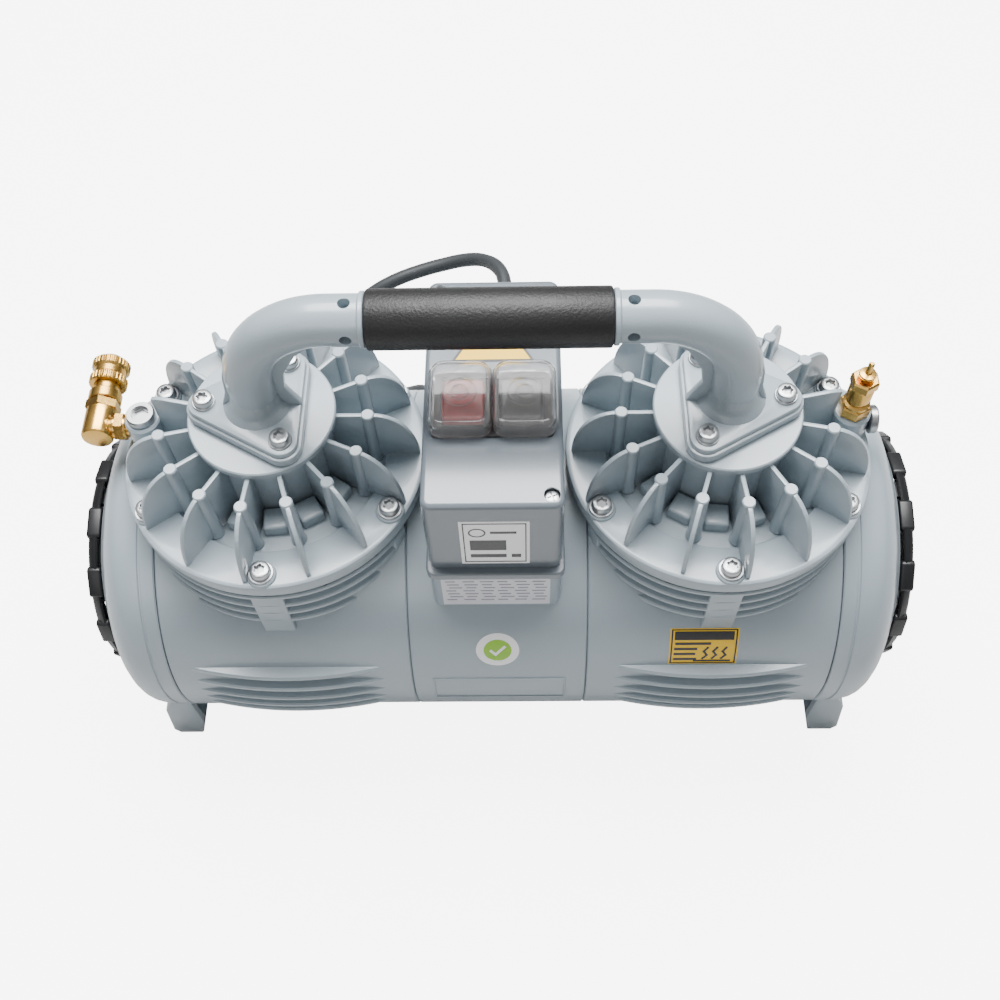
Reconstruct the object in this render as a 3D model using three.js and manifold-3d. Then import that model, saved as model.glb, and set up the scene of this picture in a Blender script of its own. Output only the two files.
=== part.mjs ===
// Twin-head diaphragm air compressor: a horizontal motor barrel, one finned head over each
// crankcase, and a carrying handle that bridges both heads.
// Millimetres, +X along the barrel to the right, +Y to the back, +Z up, floor at z = 0.
import * as THREE from 'three';
import { mergeVertices } from 'three/addons/utils/BufferGeometryUtils.js';
import Module from 'manifold-3d';

const wasm = await Module();
wasm.setup();

// ---- Driving dimensions -------------------------------------------------------------------
const GAP = 0.3;
const BARREL_SEGMENTS = 36;
const HEAD_SEGMENTS = 30;
const BORE_SEGMENTS = 16;
const AXIS_Z = 138;
const BARREL_R = 112;
const HOUSING_HALF = 57;
const CASE_END = 217;
const CAP_END = 262;
const HEAD_X = 139;
const RIM_R = 95;
const NECK_R = 85;
const RIB_R = 93;
const DECK_Z = 250.2;
const DIAPHRAGM_T = 2;
const VALVE_PLATE_Z = DECK_Z + DIAPHRAGM_T + 2 * GAP;
const RIM_Z = 258.7;
const RIM_T = 6.6;
const FIN_TOP = 307;
const DISC_TOP = 311.5;
const FLANGE_T = 10;
const GRIP_Z = 397;
const GRIP_R = 16.5;
const GRIP_HALF = 65.7;
const TUBE_R = 14.2;
const TUBE_BORE_R = 10;
const BEND_R = 52;
const PORT_R = 83;
const PORT_ANGLE = 170;
const PORT_BOSS_R = 11.3;
const PORT_TOP = 285;
const PORT_AXIS_Z = 275;
const PORT_THREAD = 4.5;
const SHAFT_R = 8.5;
const THROW = 4;
const MID_DROP = 3;
const BOX_HALF_X = 40;
const BOX_HALF_Y = 80;
const BOX_SPLIT_Z = 254;
const BOX_TOP = 334;
const SWITCH_Y = -13;
const GLAND_X = 6;
const GLAND_Z = 274;
const CORD_R = 4.75;
const COIL_X = -175;
const COIL_Y = 198;
const COIL_R = 57;
const COIL_H = 54.5;

const rad = THREE.MathUtils.degToRad;

// ---- Geometry helpers ---------------------------------------------------------------------
// Drops collapsed triangles and turns the winding outwards, so any closed three.js geometry
// or any mirrored copy becomes a valid solid.
function solid(geometry) {
  const bare = geometry.clone();
  bare.deleteAttribute('normal');
  bare.deleteAttribute('uv');
  const merged = mergeVertices(bare, 1e-4);
  const pos = merged.attributes.position.array;
  const idx = merged.index.array;
  const tris = [];
  let volume = 0;
  const a = new THREE.Vector3();
  const b = new THREE.Vector3();
  const c = new THREE.Vector3();
  for (let i = 0; i < idx.length; i += 3) {
    const [p, q, r] = [idx[i], idx[i + 1], idx[i + 2]];
    if (p === q || q === r || r === p) continue;
    a.fromArray(pos, 3 * p);
    b.fromArray(pos, 3 * q);
    c.fromArray(pos, 3 * r);
    volume += a.dot(b.cross(c));
    tris.push([p, q, r]);
  }
  const flat = volume < 0 ? tris.map(([p, q, r]) => [p, r, q]) : tris;
  const mesh = new wasm.Mesh({
    numProp: 3,
    vertProperties: new Float32Array(pos),
    triVerts: new Uint32Array(flat.flat()),
  });
  return new wasm.Manifold(mesh);
}

function toGeometry(body) {
  const mesh = body.getMesh();
  const geometry = new THREE.BufferGeometry();
  geometry.setAttribute('position', new THREE.BufferAttribute(new Float32Array(mesh.vertProperties), 3));
  geometry.setIndex(new THREE.BufferAttribute(new Uint32Array(mesh.triVerts), 1));
  return geometry;
}

function moved(body, matrix) {
  return solid(toGeometry(body).applyMatrix4(matrix));
}

// side = 1 keeps the right-hand piece, side = -1 mirrors it to the left.
function sided(body, side) {
  return side > 0 ? body : moved(body, new THREE.Matrix4().makeScale(-1, 1, 1));
}

function turned(body, degrees, x = 0, y = 0) {
  const spin = new THREE.Matrix4().makeRotationZ(rad(degrees));
  return moved(body, new THREE.Matrix4().makeTranslation(x, y, 0).multiply(spin));
}

function union(bodies) {
  return bodies.reduce((sum, body) => sum.add(body));
}

function block(x0, x1, y0, y1, z0, z1) {
  const geometry = new THREE.BoxGeometry(x1 - x0, y1 - y0, z1 - z0);
  return solid(geometry.translate((x0 + x1) / 2, (y0 + y1) / 2, (z0 + z1) / 2));
}

// Round bar from one height to another along X, Y or Z; equal radii give a cylinder.
function bar(axis, r, from, to, u, v, segments = 20, r2 = r) {
  const geometry = new THREE.CylinderGeometry(r2, r, to - from, segments);
  const mid = (from + to) / 2;
  if (axis === 'x') geometry.rotateZ(-Math.PI / 2).translate(mid, u, v);
  if (axis === 'y') geometry.translate(u, mid, v);
  if (axis === 'z') geometry.rotateX(Math.PI / 2).translate(u, v, mid);
  return solid(geometry);
}

function ring(axis, rOut, rIn, from, to, u, v, segments = 20) {
  return bar(axis, rOut, from, to, u, v, segments).subtract(bar(axis, rIn, from - 1, to + 1, u, v, segments));
}

// A closed profile of [radius, position] points turned about X, Y or Z.
function turnedProfile(axis, points, u, v, segments = 30) {
  const loop = [...points, points[0]].map(([r, h]) => new THREE.Vector2(r, h));
  const geometry = new THREE.LatheGeometry(loop, segments);
  if (axis === 'x') geometry.rotateZ(-Math.PI / 2).translate(0, u, v);
  if (axis === 'y') geometry.translate(u, 0, v);
  if (axis === 'z') geometry.rotateX(Math.PI / 2).translate(u, v, 0);
  return solid(geometry);
}

function outline(points) {
  return new THREE.Shape(points.map(([x, y]) => new THREE.Vector2(x, y)));
}

function roundedOutline(halfX, halfY, r) {
  const shape = new THREE.Shape();
  shape.moveTo(halfX, -halfY + r);
  shape.absarc(halfX - r, halfY - r, r, 0, Math.PI / 2);
  shape.absarc(-halfX + r, halfY - r, r, Math.PI / 2, Math.PI);
  shape.absarc(-halfX + r, -halfY + r, r, Math.PI, 1.5 * Math.PI);
  shape.absarc(halfX - r, -halfY + r, r, 1.5 * Math.PI, 2 * Math.PI);
  return shape;
}

function plate(shape, z0, z1, curveSegments = 2) {
  const geometry = new THREE.ExtrudeGeometry(shape, { depth: z1 - z0, bevelEnabled: false, curveSegments });
  return solid(geometry.translate(0, 0, z0));
}

// Plate cut from an outline drawn in the XZ plane, from y0 to y1.
function wallPlate(shape, y0, y1) {
  const geometry = new THREE.ExtrudeGeometry(shape, { depth: y1 - y0, bevelEnabled: false, curveSegments: 4 });
  return solid(geometry.rotateX(Math.PI / 2).translate(0, y1, 0));
}

// Round bar swept along a curve.
function sweep(curve, r, steps, sides) {
  const section = new THREE.Shape();
  section.absarc(0, 0, r, 0, 2 * Math.PI);
  const settings = { steps, bevelEnabled: false, extrudePath: curve, curveSegments: sides / 2 };
  return solid(new THREE.ExtrudeGeometry(section, settings));
}

// ---- Materials ----------------------------------------------------------------------------
function finish(color, roughness, metalness) {
  return () => new THREE.MeshStandardMaterial({ color, roughness, metalness });
}

const castPaint = finish(0xa3b0b8, 0.42, 0.35);
const boxPlastic = finish(0x98a6b0, 0.5, 0);
const blackPlastic = finish(0x17181a, 0.45, 0);
const rubber = finish(0x242526, 0.75, 0);
const steel = finish(0xc4c7c9, 0.3, 1);
const darkSteel = finish(0x6f7376, 0.4, 1);
const brass = finish(0xcaa253, 0.3, 1);
const copper = finish(0xb06a3a, 0.4, 1);
const clearPlastic = finish(0xd9d3cf, 0.15, 0);
const redPlastic = finish(0xc23a35, 0.35, 0);
const canWhite = finish(0xe2e2dc, 0.4, 0);

const compressor = new THREE.Group();

function add(name, body, material) {
  const mesh = new THREE.Mesh(toGeometry(body), material());
  mesh.name = name;
  compressor.add(mesh);
}

// ---- Motor housing, stator and rotor ------------------------------------------------------
function motorHousing() {
  const wireHole = bar('z', 8, AXIS_Z, AXIS_Z + BARREL_R + 5, 0, 45, 10);
  return ring('x', BARREL_R, BARREL_R - 8, -HOUSING_HALF, HOUSING_HALF, 0, AXIS_Z, BARREL_SEGMENTS).subtract(wireHole);
}

const STATOR_HALF = 32;
const STATOR_R = BARREL_R - 8 - GAP;

function winding() {
  const points = [[60, STATOR_HALF + GAP], [94, STATOR_HALF + GAP], [90, 53], [64, 53]];
  return turnedProfile('x', points, 0, AXIS_Z, 20);
}

// ---- Crankcases ---------------------------------------------------------------------------
const LOWER_RIB_RISE = [31, 18.5, 6, -6.5, -19];
const LOWER_RIB_HALF = 67;
const LOWER_RIB_R = 119.5;
const LOWER_RIB_T = 5;

// Lens-shaped cooling rib at one height above the barrel axis, on the front (-1) or back (1).
function lowerRib(rise, face) {
  const root = Math.sqrt(BARREL_R ** 2 - rise ** 2);
  const crest = Math.sqrt(LOWER_RIB_R ** 2 - rise ** 2);
  const shape = new THREE.Shape();
  shape.moveTo(HEAD_X - LOWER_RIB_HALF, face * (root - 6));
  shape.lineTo(HEAD_X - LOWER_RIB_HALF, face * (root - 1));
  shape.quadraticCurveTo(HEAD_X, face * (2 * crest - root), HEAD_X + LOWER_RIB_HALF, face * (root - 1));
  shape.lineTo(HEAD_X + LOWER_RIB_HALF, face * (root - 6));
  const z = AXIS_Z + rise;
  return plate(shape, z - LOWER_RIB_T / 2, z + LOWER_RIB_T / 2, 4);
}

const UPPER_RIB_TOPS = [DECK_Z - 4, 231, 216];
const BORE_R = 62;

function crankcase() {
  const solids = [
    bar('x', BARREL_R, HOUSING_HALF + GAP, CASE_END - GAP, 0, AXIS_Z, BARREL_SEGMENTS),
    bar('z', NECK_R, AXIS_Z + 30, DECK_Z, HEAD_X, 0, HEAD_SEGMENTS),
  ];
  for (const top of UPPER_RIB_TOPS) solids.push(bar('z', RIB_R, top - 4, top, HEAD_X, 0, HEAD_SEGMENTS));
  for (let k = 0; k < 6; k += 1) {
    const pad = block(NECK_R - 10, RIB_R - 1, -12, 12, AXIS_Z + 40, DECK_Z);
    solids.push(turned(pad, 30 + 60 * k, HEAD_X, 0));
  }
  const span = block(HOUSING_HALF + GAP, CASE_END - GAP, -130, 130, 0, 400);
  const ribs = [-1, 1].flatMap((face) => LOWER_RIB_RISE.map((rise) => lowerRib(rise, face)));
  const outside = union([...solids, ...ribs]).intersect(span);
  const inside = union([
    bar('x', BARREL_R - 8, 68, CASE_END - 9, 0, AXIS_Z, BORE_SEGMENTS).subtract(bar('x', 28, 60, 76, 0, AXIS_Z, 10)),
    bar('z', BORE_R, AXIS_Z, DECK_Z + 5, HEAD_X, 0, BORE_SEGMENTS),
    bar('x', 20 + GAP, 62, 80, 0, AXIS_Z, 20),
    bar('x', 12, 50, 80, 0, AXIS_Z, 12),
    bar('x', 30, 200, 230, 0, AXIS_Z, 12),
  ]);
  return outside.subtract(inside);
}

// ---- End caps with cast feet, guards and fans -----------------------------------------------
const CAP_OUTSIDE = [
  [112, CASE_END + GAP], [112, 229], [110.5, 240], [104, 249], [95, 254.5], [84, 259], [80, CAP_END],
];
const CAP_INSIDE = [
  [76, CAP_END], [79, 256], [98, 246], [106, 234], [106, CASE_END + GAP],
];
const LEG_FRONT = 93;
const LEG_BACK = 58;

function leg(face) {
  const side = outline([[231, 80], [254, 80], [259, 6], [255, 0], [237, 0], [231, 26]]);
  const near = Math.min(face * LEG_FRONT, face * LEG_BACK);
  const far = Math.max(face * LEG_FRONT, face * LEG_BACK);
  const hollow = block(220, 253, near + 4, far - 4, 6, 90);
  return wallPlate(side, near, far).subtract(hollow);
}

function endCap() {
  const core = (points) => [[0, points[0][1]], ...points, [0, points[points.length - 1][1]]];
  const shell = turnedProfile('x', core(CAP_OUTSIDE), 0, AXIS_Z, BARREL_SEGMENTS);
  const inner = [...CAP_INSIDE].reverse();
  const hollow = turnedProfile('x', core([[106, CASE_END - 1], ...inner, [76, CAP_END + 1]]), 0, AXIS_Z, 20);
  return union([shell, leg(-1), leg(1)]).subtract(hollow);
}

const GUARD_SPOKES = 8;

function fanGuard() {
  const rimRing = turnedProfile('x', [[72, 267], [79, 266], [78, 270], [72, 272]], 0, AXIS_Z, 16);
  const midRing = turnedProfile('x', [[44, 274.5], [50, 273.5], [50, 277.5], [44, 278.5]], 0, AXIS_Z, 16);
  const hub = bar('x', 20, 276, 281, 0, AXIS_Z, 8, 17);
  const parts = [rimRing, midRing, hub];
  const profile = outline([[276.6, 15], [275.2, 47], [267.5, 76], [271, 76], [278.2, 48], [280.4, 15]]);
  const spoke = wallPlate(profile, -2.2, 2.2);
  const tab = block(CAP_END + GAP, 268.5, -8, 8, 72.5, 77);
  for (let k = 0; k < GUARD_SPOKES; k += 1) {
    const spin = new THREE.Matrix4().makeTranslation(0, 0, AXIS_Z);
    spin.multiply(new THREE.Matrix4().makeRotationX(rad((360 / GUARD_SPOKES) * k)));
    parts.push(moved(spoke, spin));
    if (k % 2 === 0) parts.push(moved(tab, spin));
  }
  return union(parts);
}

const FAN_BLADES = 7;

function fan() {
  const hub = bar('x', 20, 236, 254, 0, 0, 14);
  const blade = block(236, 239, -13, 13, 17, 70);
  const blades = [];
  for (let k = 0; k < FAN_BLADES; k += 1) {
    const pitch = new THREE.Matrix4().makeTranslation(245, 0, 0);
    pitch.multiply(new THREE.Matrix4().makeRotationZ(rad(28)));
    pitch.multiply(new THREE.Matrix4().makeTranslation(-237.5, 0, 0));
    const spin = new THREE.Matrix4().makeRotationX(rad((360 / FAN_BLADES) * k));
    blades.push(moved(blade, spin.multiply(pitch)));
  }
  const bore = bar('x', SHAFT_R + GAP, 230, 260, 0, 0, 12);
  return moved(union([hub, ...blades]).subtract(bore), new THREE.Matrix4().makeTranslation(0, 0, AXIS_Z));
}

// ---- Crank drive --------------------------------------------------------------------------
// The two cranks stand 180 degrees apart: the left pin is at the top, the right at the bottom.
const ECC_R = 16;
const ECC_HALF = 8;
const ROD_BEARING_R = 23;
const ROD_FOOT_R = 38;

function eccentric(pinRise) {
  const disc = bar('x', ECC_R, HEAD_X - ECC_HALF, HEAD_X + ECC_HALF, 0, AXIS_Z + pinRise, 20);
  return disc.subtract(bar('x', SHAFT_R + GAP, 100, 180, 0, AXIS_Z, 12));
}

function connectingRod(pinRise) {
  const pinZ = AXIS_Z + pinRise;
  const top = DECK_Z + pinRise - MID_DROP;
  const bigEnd = bar('x', ROD_BEARING_R + 8, HEAD_X - 7, HEAD_X + 7, 0, pinZ, 20);
  const shank = wallPlate(outline([
    [HEAD_X - 5, pinZ + 26], [HEAD_X + 5, pinZ + 26], [HEAD_X + 5, top - 4], [HEAD_X - 5, top - 4],
  ]), -13, 13);
  const foot = bar('z', ROD_FOOT_R - 8, top - 10, top - 5, HEAD_X, 0, 20, ROD_FOOT_R);
  const face = bar('z', ROD_FOOT_R, top - 5, top, HEAD_X, 0, 20);
  const bore = bar('x', ROD_BEARING_R + GAP, 100, 180, 0, pinZ, 20);
  const tapped = bar('z', 4 + GAP, top - 16, top + 5, HEAD_X, 0, 8);
  return union([bigEnd, shank, foot, face]).subtract(bore).subtract(tapped);
}

// The rim is clamped at deck height; the middle follows its crank.
function diaphragm(pinRise) {
  const low = DECK_Z + GAP;
  const high = low + DIAPHRAGM_T;
  const middle = pinRise - MID_DROP;
  const points = [
    [4 + GAP, low + middle], [42, low + middle], [58, low], [RIB_R, low],
    [RIB_R, high], [58, high], [42, high + middle], [4 + GAP, high + middle],
  ];
  return turnedProfile('z', points, HEAD_X, 0, 16);
}

function diaphragmClamp(pinRise) {
  const under = VALVE_PLATE_Z + pinRise - MID_DROP;
  const disc = bar('z', 38, under, under + 2, HEAD_X, 0, 20, 36);
  const stud = bar('z', 4, under - 14, under + 1, HEAD_X, 0, 8);
  return union([disc, stud]);
}

function valvePlate() {
  const body = bar('z', RIM_R - 1, VALVE_PLATE_Z, RIM_Z - GAP, HEAD_X, 0, HEAD_SEGMENTS);
  const chamber = bar('z', 60, VALVE_PLATE_Z - 1, RIM_Z - GAP - 2.4, HEAD_X, 0, 24);
  const intake = bar('z', 6, 240, 270, HEAD_X, 0, 8);
  const exhaust = bar('z', 6, 240, 270, HEAD_X + 45, 0, 8);
  return body.subtract(chamber).subtract(intake).subtract(exhaust);
}

// ---- Finned cylinder heads ------------------------------------------------------------------
const FIN_COUNT = 15;
const FIN_T = 2.6;
const FLANGE_BOLT_RING = 32;
const portX = HEAD_X - PORT_R * Math.cos(rad(PORT_ANGLE));
const portY = PORT_R * Math.sin(rad(PORT_ANGLE));

// Fin in the radial plane: level on top, falling in an arc to the rim.
function finShape() {
  const shape = new THREE.Shape();
  shape.moveTo(36, 262);
  shape.lineTo(91.5, 262);
  shape.lineTo(91.5, 268);
  shape.bezierCurveTo(90, 288, 82, FIN_TOP, 64, FIN_TOP);
  shape.lineTo(36, FIN_TOP);
  return shape;
}

// Angles run from the direction that faces the other head.
function finAngle(k) {
  return 180 - (360 / FIN_COUNT) * k;
}

function cylinderHead() {
  const hub = 40;
  const disc = 44.4;
  const under = DISC_TOP - 5;
  const body = turnedProfile('z', [
    [0, RIM_Z], [RIM_R, RIM_Z], [RIM_R, RIM_Z + RIM_T], [hub, RIM_Z + RIM_T - 2], [hub, under], [disc, under],
    [disc, DISC_TOP], [0, DISC_TOP],
  ], HEAD_X, 0, HEAD_SEGMENTS);
  const fin = wallPlate(finShape(), -FIN_T / 2, FIN_T / 2);
  const parts = [body];
  for (let k = 0; k < FIN_COUNT; k += 1) parts.push(turned(fin, finAngle(k), HEAD_X, 0));
  parts.push(bar('z', PORT_BOSS_R, 261, PORT_TOP, portX, portY, 16));
  const cuts = [
    bar('z', TUBE_BORE_R, 255, 320, HEAD_X, 0, 16),
    ring('z', 58, 22, 255, 260.6, HEAD_X, 0, 20),
    bar('z', PORT_BOSS_R + 0.5, PORT_TOP, 320, portX, portY, 16),
    bar('z', 6.6, 268, 320, portX, portY, 10),
    bar('x', 6.6, portX, portX + 30, portY, PORT_AXIS_Z, 10),
  ];
  for (const angle of [0, 120, 240]) {
    const x = HEAD_X + FLANGE_BOLT_RING * Math.cos(rad(angle));
    const y = FLANGE_BOLT_RING * Math.sin(rad(angle));
    cuts.push(bar('z', 3 + GAP, 292, 320, x, y, 8));
  }
  return union(parts).subtract(union(cuts));
}

// ---- Handle -------------------------------------------------------------------------------
const FLANGE_Z = DISC_TOP + GAP;
const FLANGE_TOP = FLANGE_Z + FLANGE_T;

// Triangular flange with rounded corners, each corner around one bolt.
function triangle(cornerR) {
  const corners = [0, 120, 240];
  const shape = new THREE.Shape();
  corners.forEach((angle, i) => {
    const x = HEAD_X + FLANGE_BOLT_RING * Math.cos(rad(angle));
    const y = FLANGE_BOLT_RING * Math.sin(rad(angle));
    const from = rad(angle - 60);
    if (i === 0) shape.moveTo(x + cornerR * Math.cos(from), y + cornerR * Math.sin(from));
    shape.absarc(x, y, cornerR, from, rad(angle + 60));
  });
  return shape;
}

// Quarter bend of a round bar, with a straight leg at each end, built from three closed pieces.
function bentBar(r, start, end, segments) {
  const turn = GRIP_Z - BEND_R;
  const upright = bar('z', r, start, turn + 0.01, HEAD_X, 0, segments);
  const level = bar('x', r, end, HEAD_X - BEND_R + 0.01, 0, GRIP_Z, segments);
  const torus = new THREE.TorusGeometry(BEND_R, r, segments, 32);
  torus.rotateX(Math.PI / 2).translate(HEAD_X - BEND_R, 0, turn);
  const quarter = block(HEAD_X - BEND_R, HEAD_X + 40, -40, 40, turn, GRIP_Z + 40);
  return union([upright, level, solid(torus).intersect(quarter)]);
}

function handleElbow() {
  const outer = bentBar(TUBE_R, FLANGE_Z + 1, 68, 16);
  const collar = bar('x', TUBE_R + 1.2, GRIP_HALF + GAP, 68.5, 0, GRIP_Z, 16);
  const flange = plate(triangle(11.5), FLANGE_Z, FLANGE_Z + 6).add(plate(triangle(9.8), FLANGE_Z + 5, FLANGE_TOP));
  const gusset = wallPlate(outline([
    [HEAD_X - 27, FLANGE_TOP - 1], [HEAD_X + 20, FLANGE_TOP - 1], [HEAD_X + 16, 340], [HEAD_X + 9, 372],
    [HEAD_X - 12, 396], [HEAD_X - 50, 386], [HEAD_X - 22, 352],
  ]), -2.2, 2.2);
  const inner = bentBar(TUBE_BORE_R, FLANGE_Z - 2, 60, 12);
  const cuts = [inner];
  for (const angle of [0, 120, 240]) {
    const x = HEAD_X + FLANGE_BOLT_RING * Math.cos(rad(angle));
    const y = FLANGE_BOLT_RING * Math.sin(rad(angle));
    cuts.push(bar('z', 3 + GAP, 300, 330, x, y, 8));
  }
  cuts.push(bar('z', 3.5, GRIP_Z - 30, GRIP_Z + 30, 76, 0, 8));
  cuts.push(bar('y', 3.5, -30, 30, 76, GRIP_Z, 8));
  return union([outer, collar, flange, gusset]).subtract(union(cuts));
}

function gripSleeve() {
  const half = [[TUBE_BORE_R, -GRIP_HALF], [GRIP_R - 1.5, -GRIP_HALF], [GRIP_R, -GRIP_HALF + 1.5]];
  const other = [[GRIP_R, GRIP_HALF - 1.5], [GRIP_R - 1.5, GRIP_HALF], [TUBE_BORE_R, GRIP_HALF]];
  return turnedProfile('x', [...half, ...other], 0, GRIP_Z, 18);
}

// ---- Fasteners ------------------------------------------------------------------------------
function flangeBolt() {
  const foot = FLANGE_TOP + GAP;
  const washer = bar('z', 6.6, foot, foot + 1.4, 0, 0, 14);
  const head = bar('z', 5.8, foot + 1, foot + 5.9, 0, 0, 14, 5);
  const shank = bar('z', 3, 296, foot + 1, 0, 0, 8);
  const socket = bar('z', 2.8, foot + 3, foot + 9, 0, 0, 6);
  return union([washer, head, shank]).subtract(socket);
}

// ---- Air ports ------------------------------------------------------------------------------
function hexPlug() {
  const body = bar('z', 9, 0, 5, 0, 0, 16);
  const thread = bar('z', 6, -PORT_THREAD, 0.5, 0, 0, 8);
  const socket = bar('z', 4.6, 1.6, 8, 0, 0, 6);
  return union([body, thread]).subtract(socket);
}

const COUPLING_X = -(portX + 30);

function outletElbow() {
  const face = -(portX + PORT_BOSS_R);
  const stub = bar('x', 8, COUPLING_X, face - GAP, portY, PORT_AXIS_Z, 12);
  const thread = bar('x', 6, face - 1, face + PORT_THREAD, portY, PORT_AXIS_Z, 8);
  const corner = bar('y', 10, portY - 9, portY + 12, COUPLING_X, PORT_AXIS_Z, 16);
  const hex = bar('y', 11, portY + 11, portY + 18, COUPLING_X, PORT_AXIS_Z, 6);
  const bore = bar('y', 5, portY - 3, portY + 30, COUPLING_X, PORT_AXIS_Z, 10);
  const inlet = bar('x', 4, COUPLING_X, -200, portY, PORT_AXIS_Z, 8);
  return union([stub, thread, corner, hex]).subtract(bore).subtract(inlet);
}

const COUPLING_Y = portY + 18 + GAP;

function couplingBody() {
  const y = COUPLING_Y;
  const points = [
    [5, y], [10.4, y], [10.4, y + 7], [8.2, y + 8], [8.2, y + 33], [7, y + 34], [5, y + 34],
  ];
  return turnedProfile('y', points, COUPLING_X, PORT_AXIS_Z, 16);
}

function couplingSleeve() {
  const y = COUPLING_Y + 13;
  const points = [
    [8.5, y], [12, y], [12, y + 6], [11.2, y + 7], [11.2, y + 11], [12, y + 12], [12, y + 18], [8.5, y + 18],
  ];
  return turnedProfile('y', points, COUPLING_X, PORT_AXIS_Z, 16);
}

function reliefBody() {
  const z = PORT_TOP + GAP;
  const solids = [
    bar('z', 6, z - PORT_THREAD, z + 1, portX, portY, 8),
    bar('z', 9.6, z, z + 8, portX, portY, 6),
    bar('z', 7.4, z + 7, z + 27, portX, portY, 12),
    bar('z', 8.8, z + 26, z + 33, portX, portY, 6),
  ];
  const cuts = bar('z', 3, z - 20, z + 50, portX, portY, 12);
  return union(solids).subtract(cuts);
}

function reliefStem() {
  const z = PORT_TOP + GAP + 10;
  return bar('z', 2.6, z, z + 31, portX, portY, 10).add(bar('z', 5, z + 27, z + 30, portX, portY, 10));
}

// ---- Terminal box ---------------------------------------------------------------------------
function boxBase() {
  const outer = plate(roundedOutline(BOX_HALF_X, BOX_HALF_Y + 3, 5), AXIS_Z + 40, BOX_SPLIT_Z);
  const inner = plate(roundedOutline(BOX_HALF_X - 3, BOX_HALF_Y, 3), AXIS_Z, BOX_SPLIT_Z + 5);
  const saddle = bar('x', BARREL_R + 2 * GAP, -80, 80, 0, AXIS_Z, BARREL_SEGMENTS);
  return outer.subtract(inner).subtract(saddle);
}

const lidScrews = [[33, -72], [-33, 72]];

function boxLid() {
  const low = BOX_SPLIT_Z + GAP;
  const skirt = plate(roundedOutline(BOX_HALF_X + 1.8, BOX_HALF_Y + 4.6, 6), low, low + 6);
  const shell = new THREE.ExtrudeGeometry(roundedOutline(BOX_HALF_X - 2.5, BOX_HALF_Y - 2.5, 3.5), {
    depth: BOX_TOP - low - 2.5, bevelEnabled: true, bevelThickness: 2.5, bevelSize: 2.5, bevelSegments: 1, curveSegments: 2,
  });
  const body = solid(shell.translate(0, 0, low)).intersect(block(-60, 60, -100, 100, low, BOX_TOP + 10));
  const room = plate(roundedOutline(BOX_HALF_X - 3.2, BOX_HALF_Y - 3.2, 3), low - 1, BOX_TOP - 3, 1);
  let lid = union([skirt, body]).subtract(room);
  for (const [x, y] of lidScrews) {
    lid = lid.add(bar('z', 6.4, low, BOX_TOP - 2, x, y, 10));
    lid = lid.subtract(bar('z', 4.4, BOX_TOP - 9, BOX_TOP + 5, x, y, 10));
    lid = lid.subtract(bar('z', 2.3, low - 5, BOX_TOP, x, y, 8));
  }
  const window = block(-33, 33, SWITCH_Y - 20, SWITCH_Y + 20, BOX_TOP - 8, BOX_TOP + 5);
  const glandHole = bar('y', 8 + GAP, 60, 90, GLAND_X, GLAND_Z, 12);
  return lid.subtract(window).subtract(glandHole);
}

function lidScrew(x, y) {
  const head = bar('z', 4, BOX_TOP - 8.7, BOX_TOP - 5.5, x, y, 10);
  const shank = bar('z', 2, BOX_SPLIT_Z + 4, BOX_TOP - 8, x, y, 6);
  const slot = block(x - 3, x + 3, y - 0.6, y + 0.6, BOX_TOP - 6.9, BOX_TOP);
  return union([head, shank]).subtract(slot);
}

const BUTTON_X = 16.5;

function switchBody() {
  const bezel = block(-35, 35, SWITCH_Y - 22, SWITCH_Y + 22, BOX_TOP + GAP, BOX_TOP + 2);
  const body = block(-32, 32, SWITCH_Y - 19, SWITCH_Y + 19, 300, BOX_TOP + 1);
  let result = union([bezel, body]);
  for (const side of [-1, 1]) {
    const x = side * BUTTON_X;
    result = result.subtract(block(x - 12.5, x + 12.5, SWITCH_Y - 14, SWITCH_Y + 14, 320, BOX_TOP + 5));
  }
  return result;
}

function button(side) {
  const x = side * BUTTON_X;
  const cap = plate(roundedOutline(12.1, 13.6, 3), 325, BOX_TOP + 7, 1);
  return moved(cap, new THREE.Matrix4().makeTranslation(x, SWITCH_Y, 0));
}

// Clear two-lobe dust cover over both buttons, open underneath.
function switchCover() {
  const z = BOX_TOP + 2 + GAP;
  const lobes = (grow, top) => [-1, 1].map((side) => {
    const lobe = plate(roundedOutline(19.4 - grow, 23.5 - grow, 9 - grow), z - (grow > 0 ? 1 : 0), top);
    return moved(lobe, new THREE.Matrix4().makeTranslation(side * 17.2, SWITCH_Y, 0));
  });
  return union(lobes(0, z + 12)).subtract(union(lobes(1.5, z + 10.5)));
}

function capacitor() {
  const can = bar('y', 17.5, -8, 60, -10, 280, 18);
  const stud = bar('y', 4, -14, -7, -10, 280, 8);
  return can.add(stud);
}

function cableGland() {
  const y = BOX_HALF_Y + GAP;
  const solids = [
    bar('y', 8, y - 9, y + 1, GLAND_X, GLAND_Z, 12),
    bar('y', 11, y, y + 5, GLAND_X, GLAND_Z, 6),
    bar('y', 9.6, y + 5, y + 14, GLAND_X, GLAND_Z, 16),
    bar('y', 8.4, y + 14, y + 40, GLAND_X, GLAND_Z, 16, 5.8),
  ];
  return union(solids).subtract(bar('y', CORD_R - 0.6, y - 20, y + 34, GLAND_X, GLAND_Z, 8));
}

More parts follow.
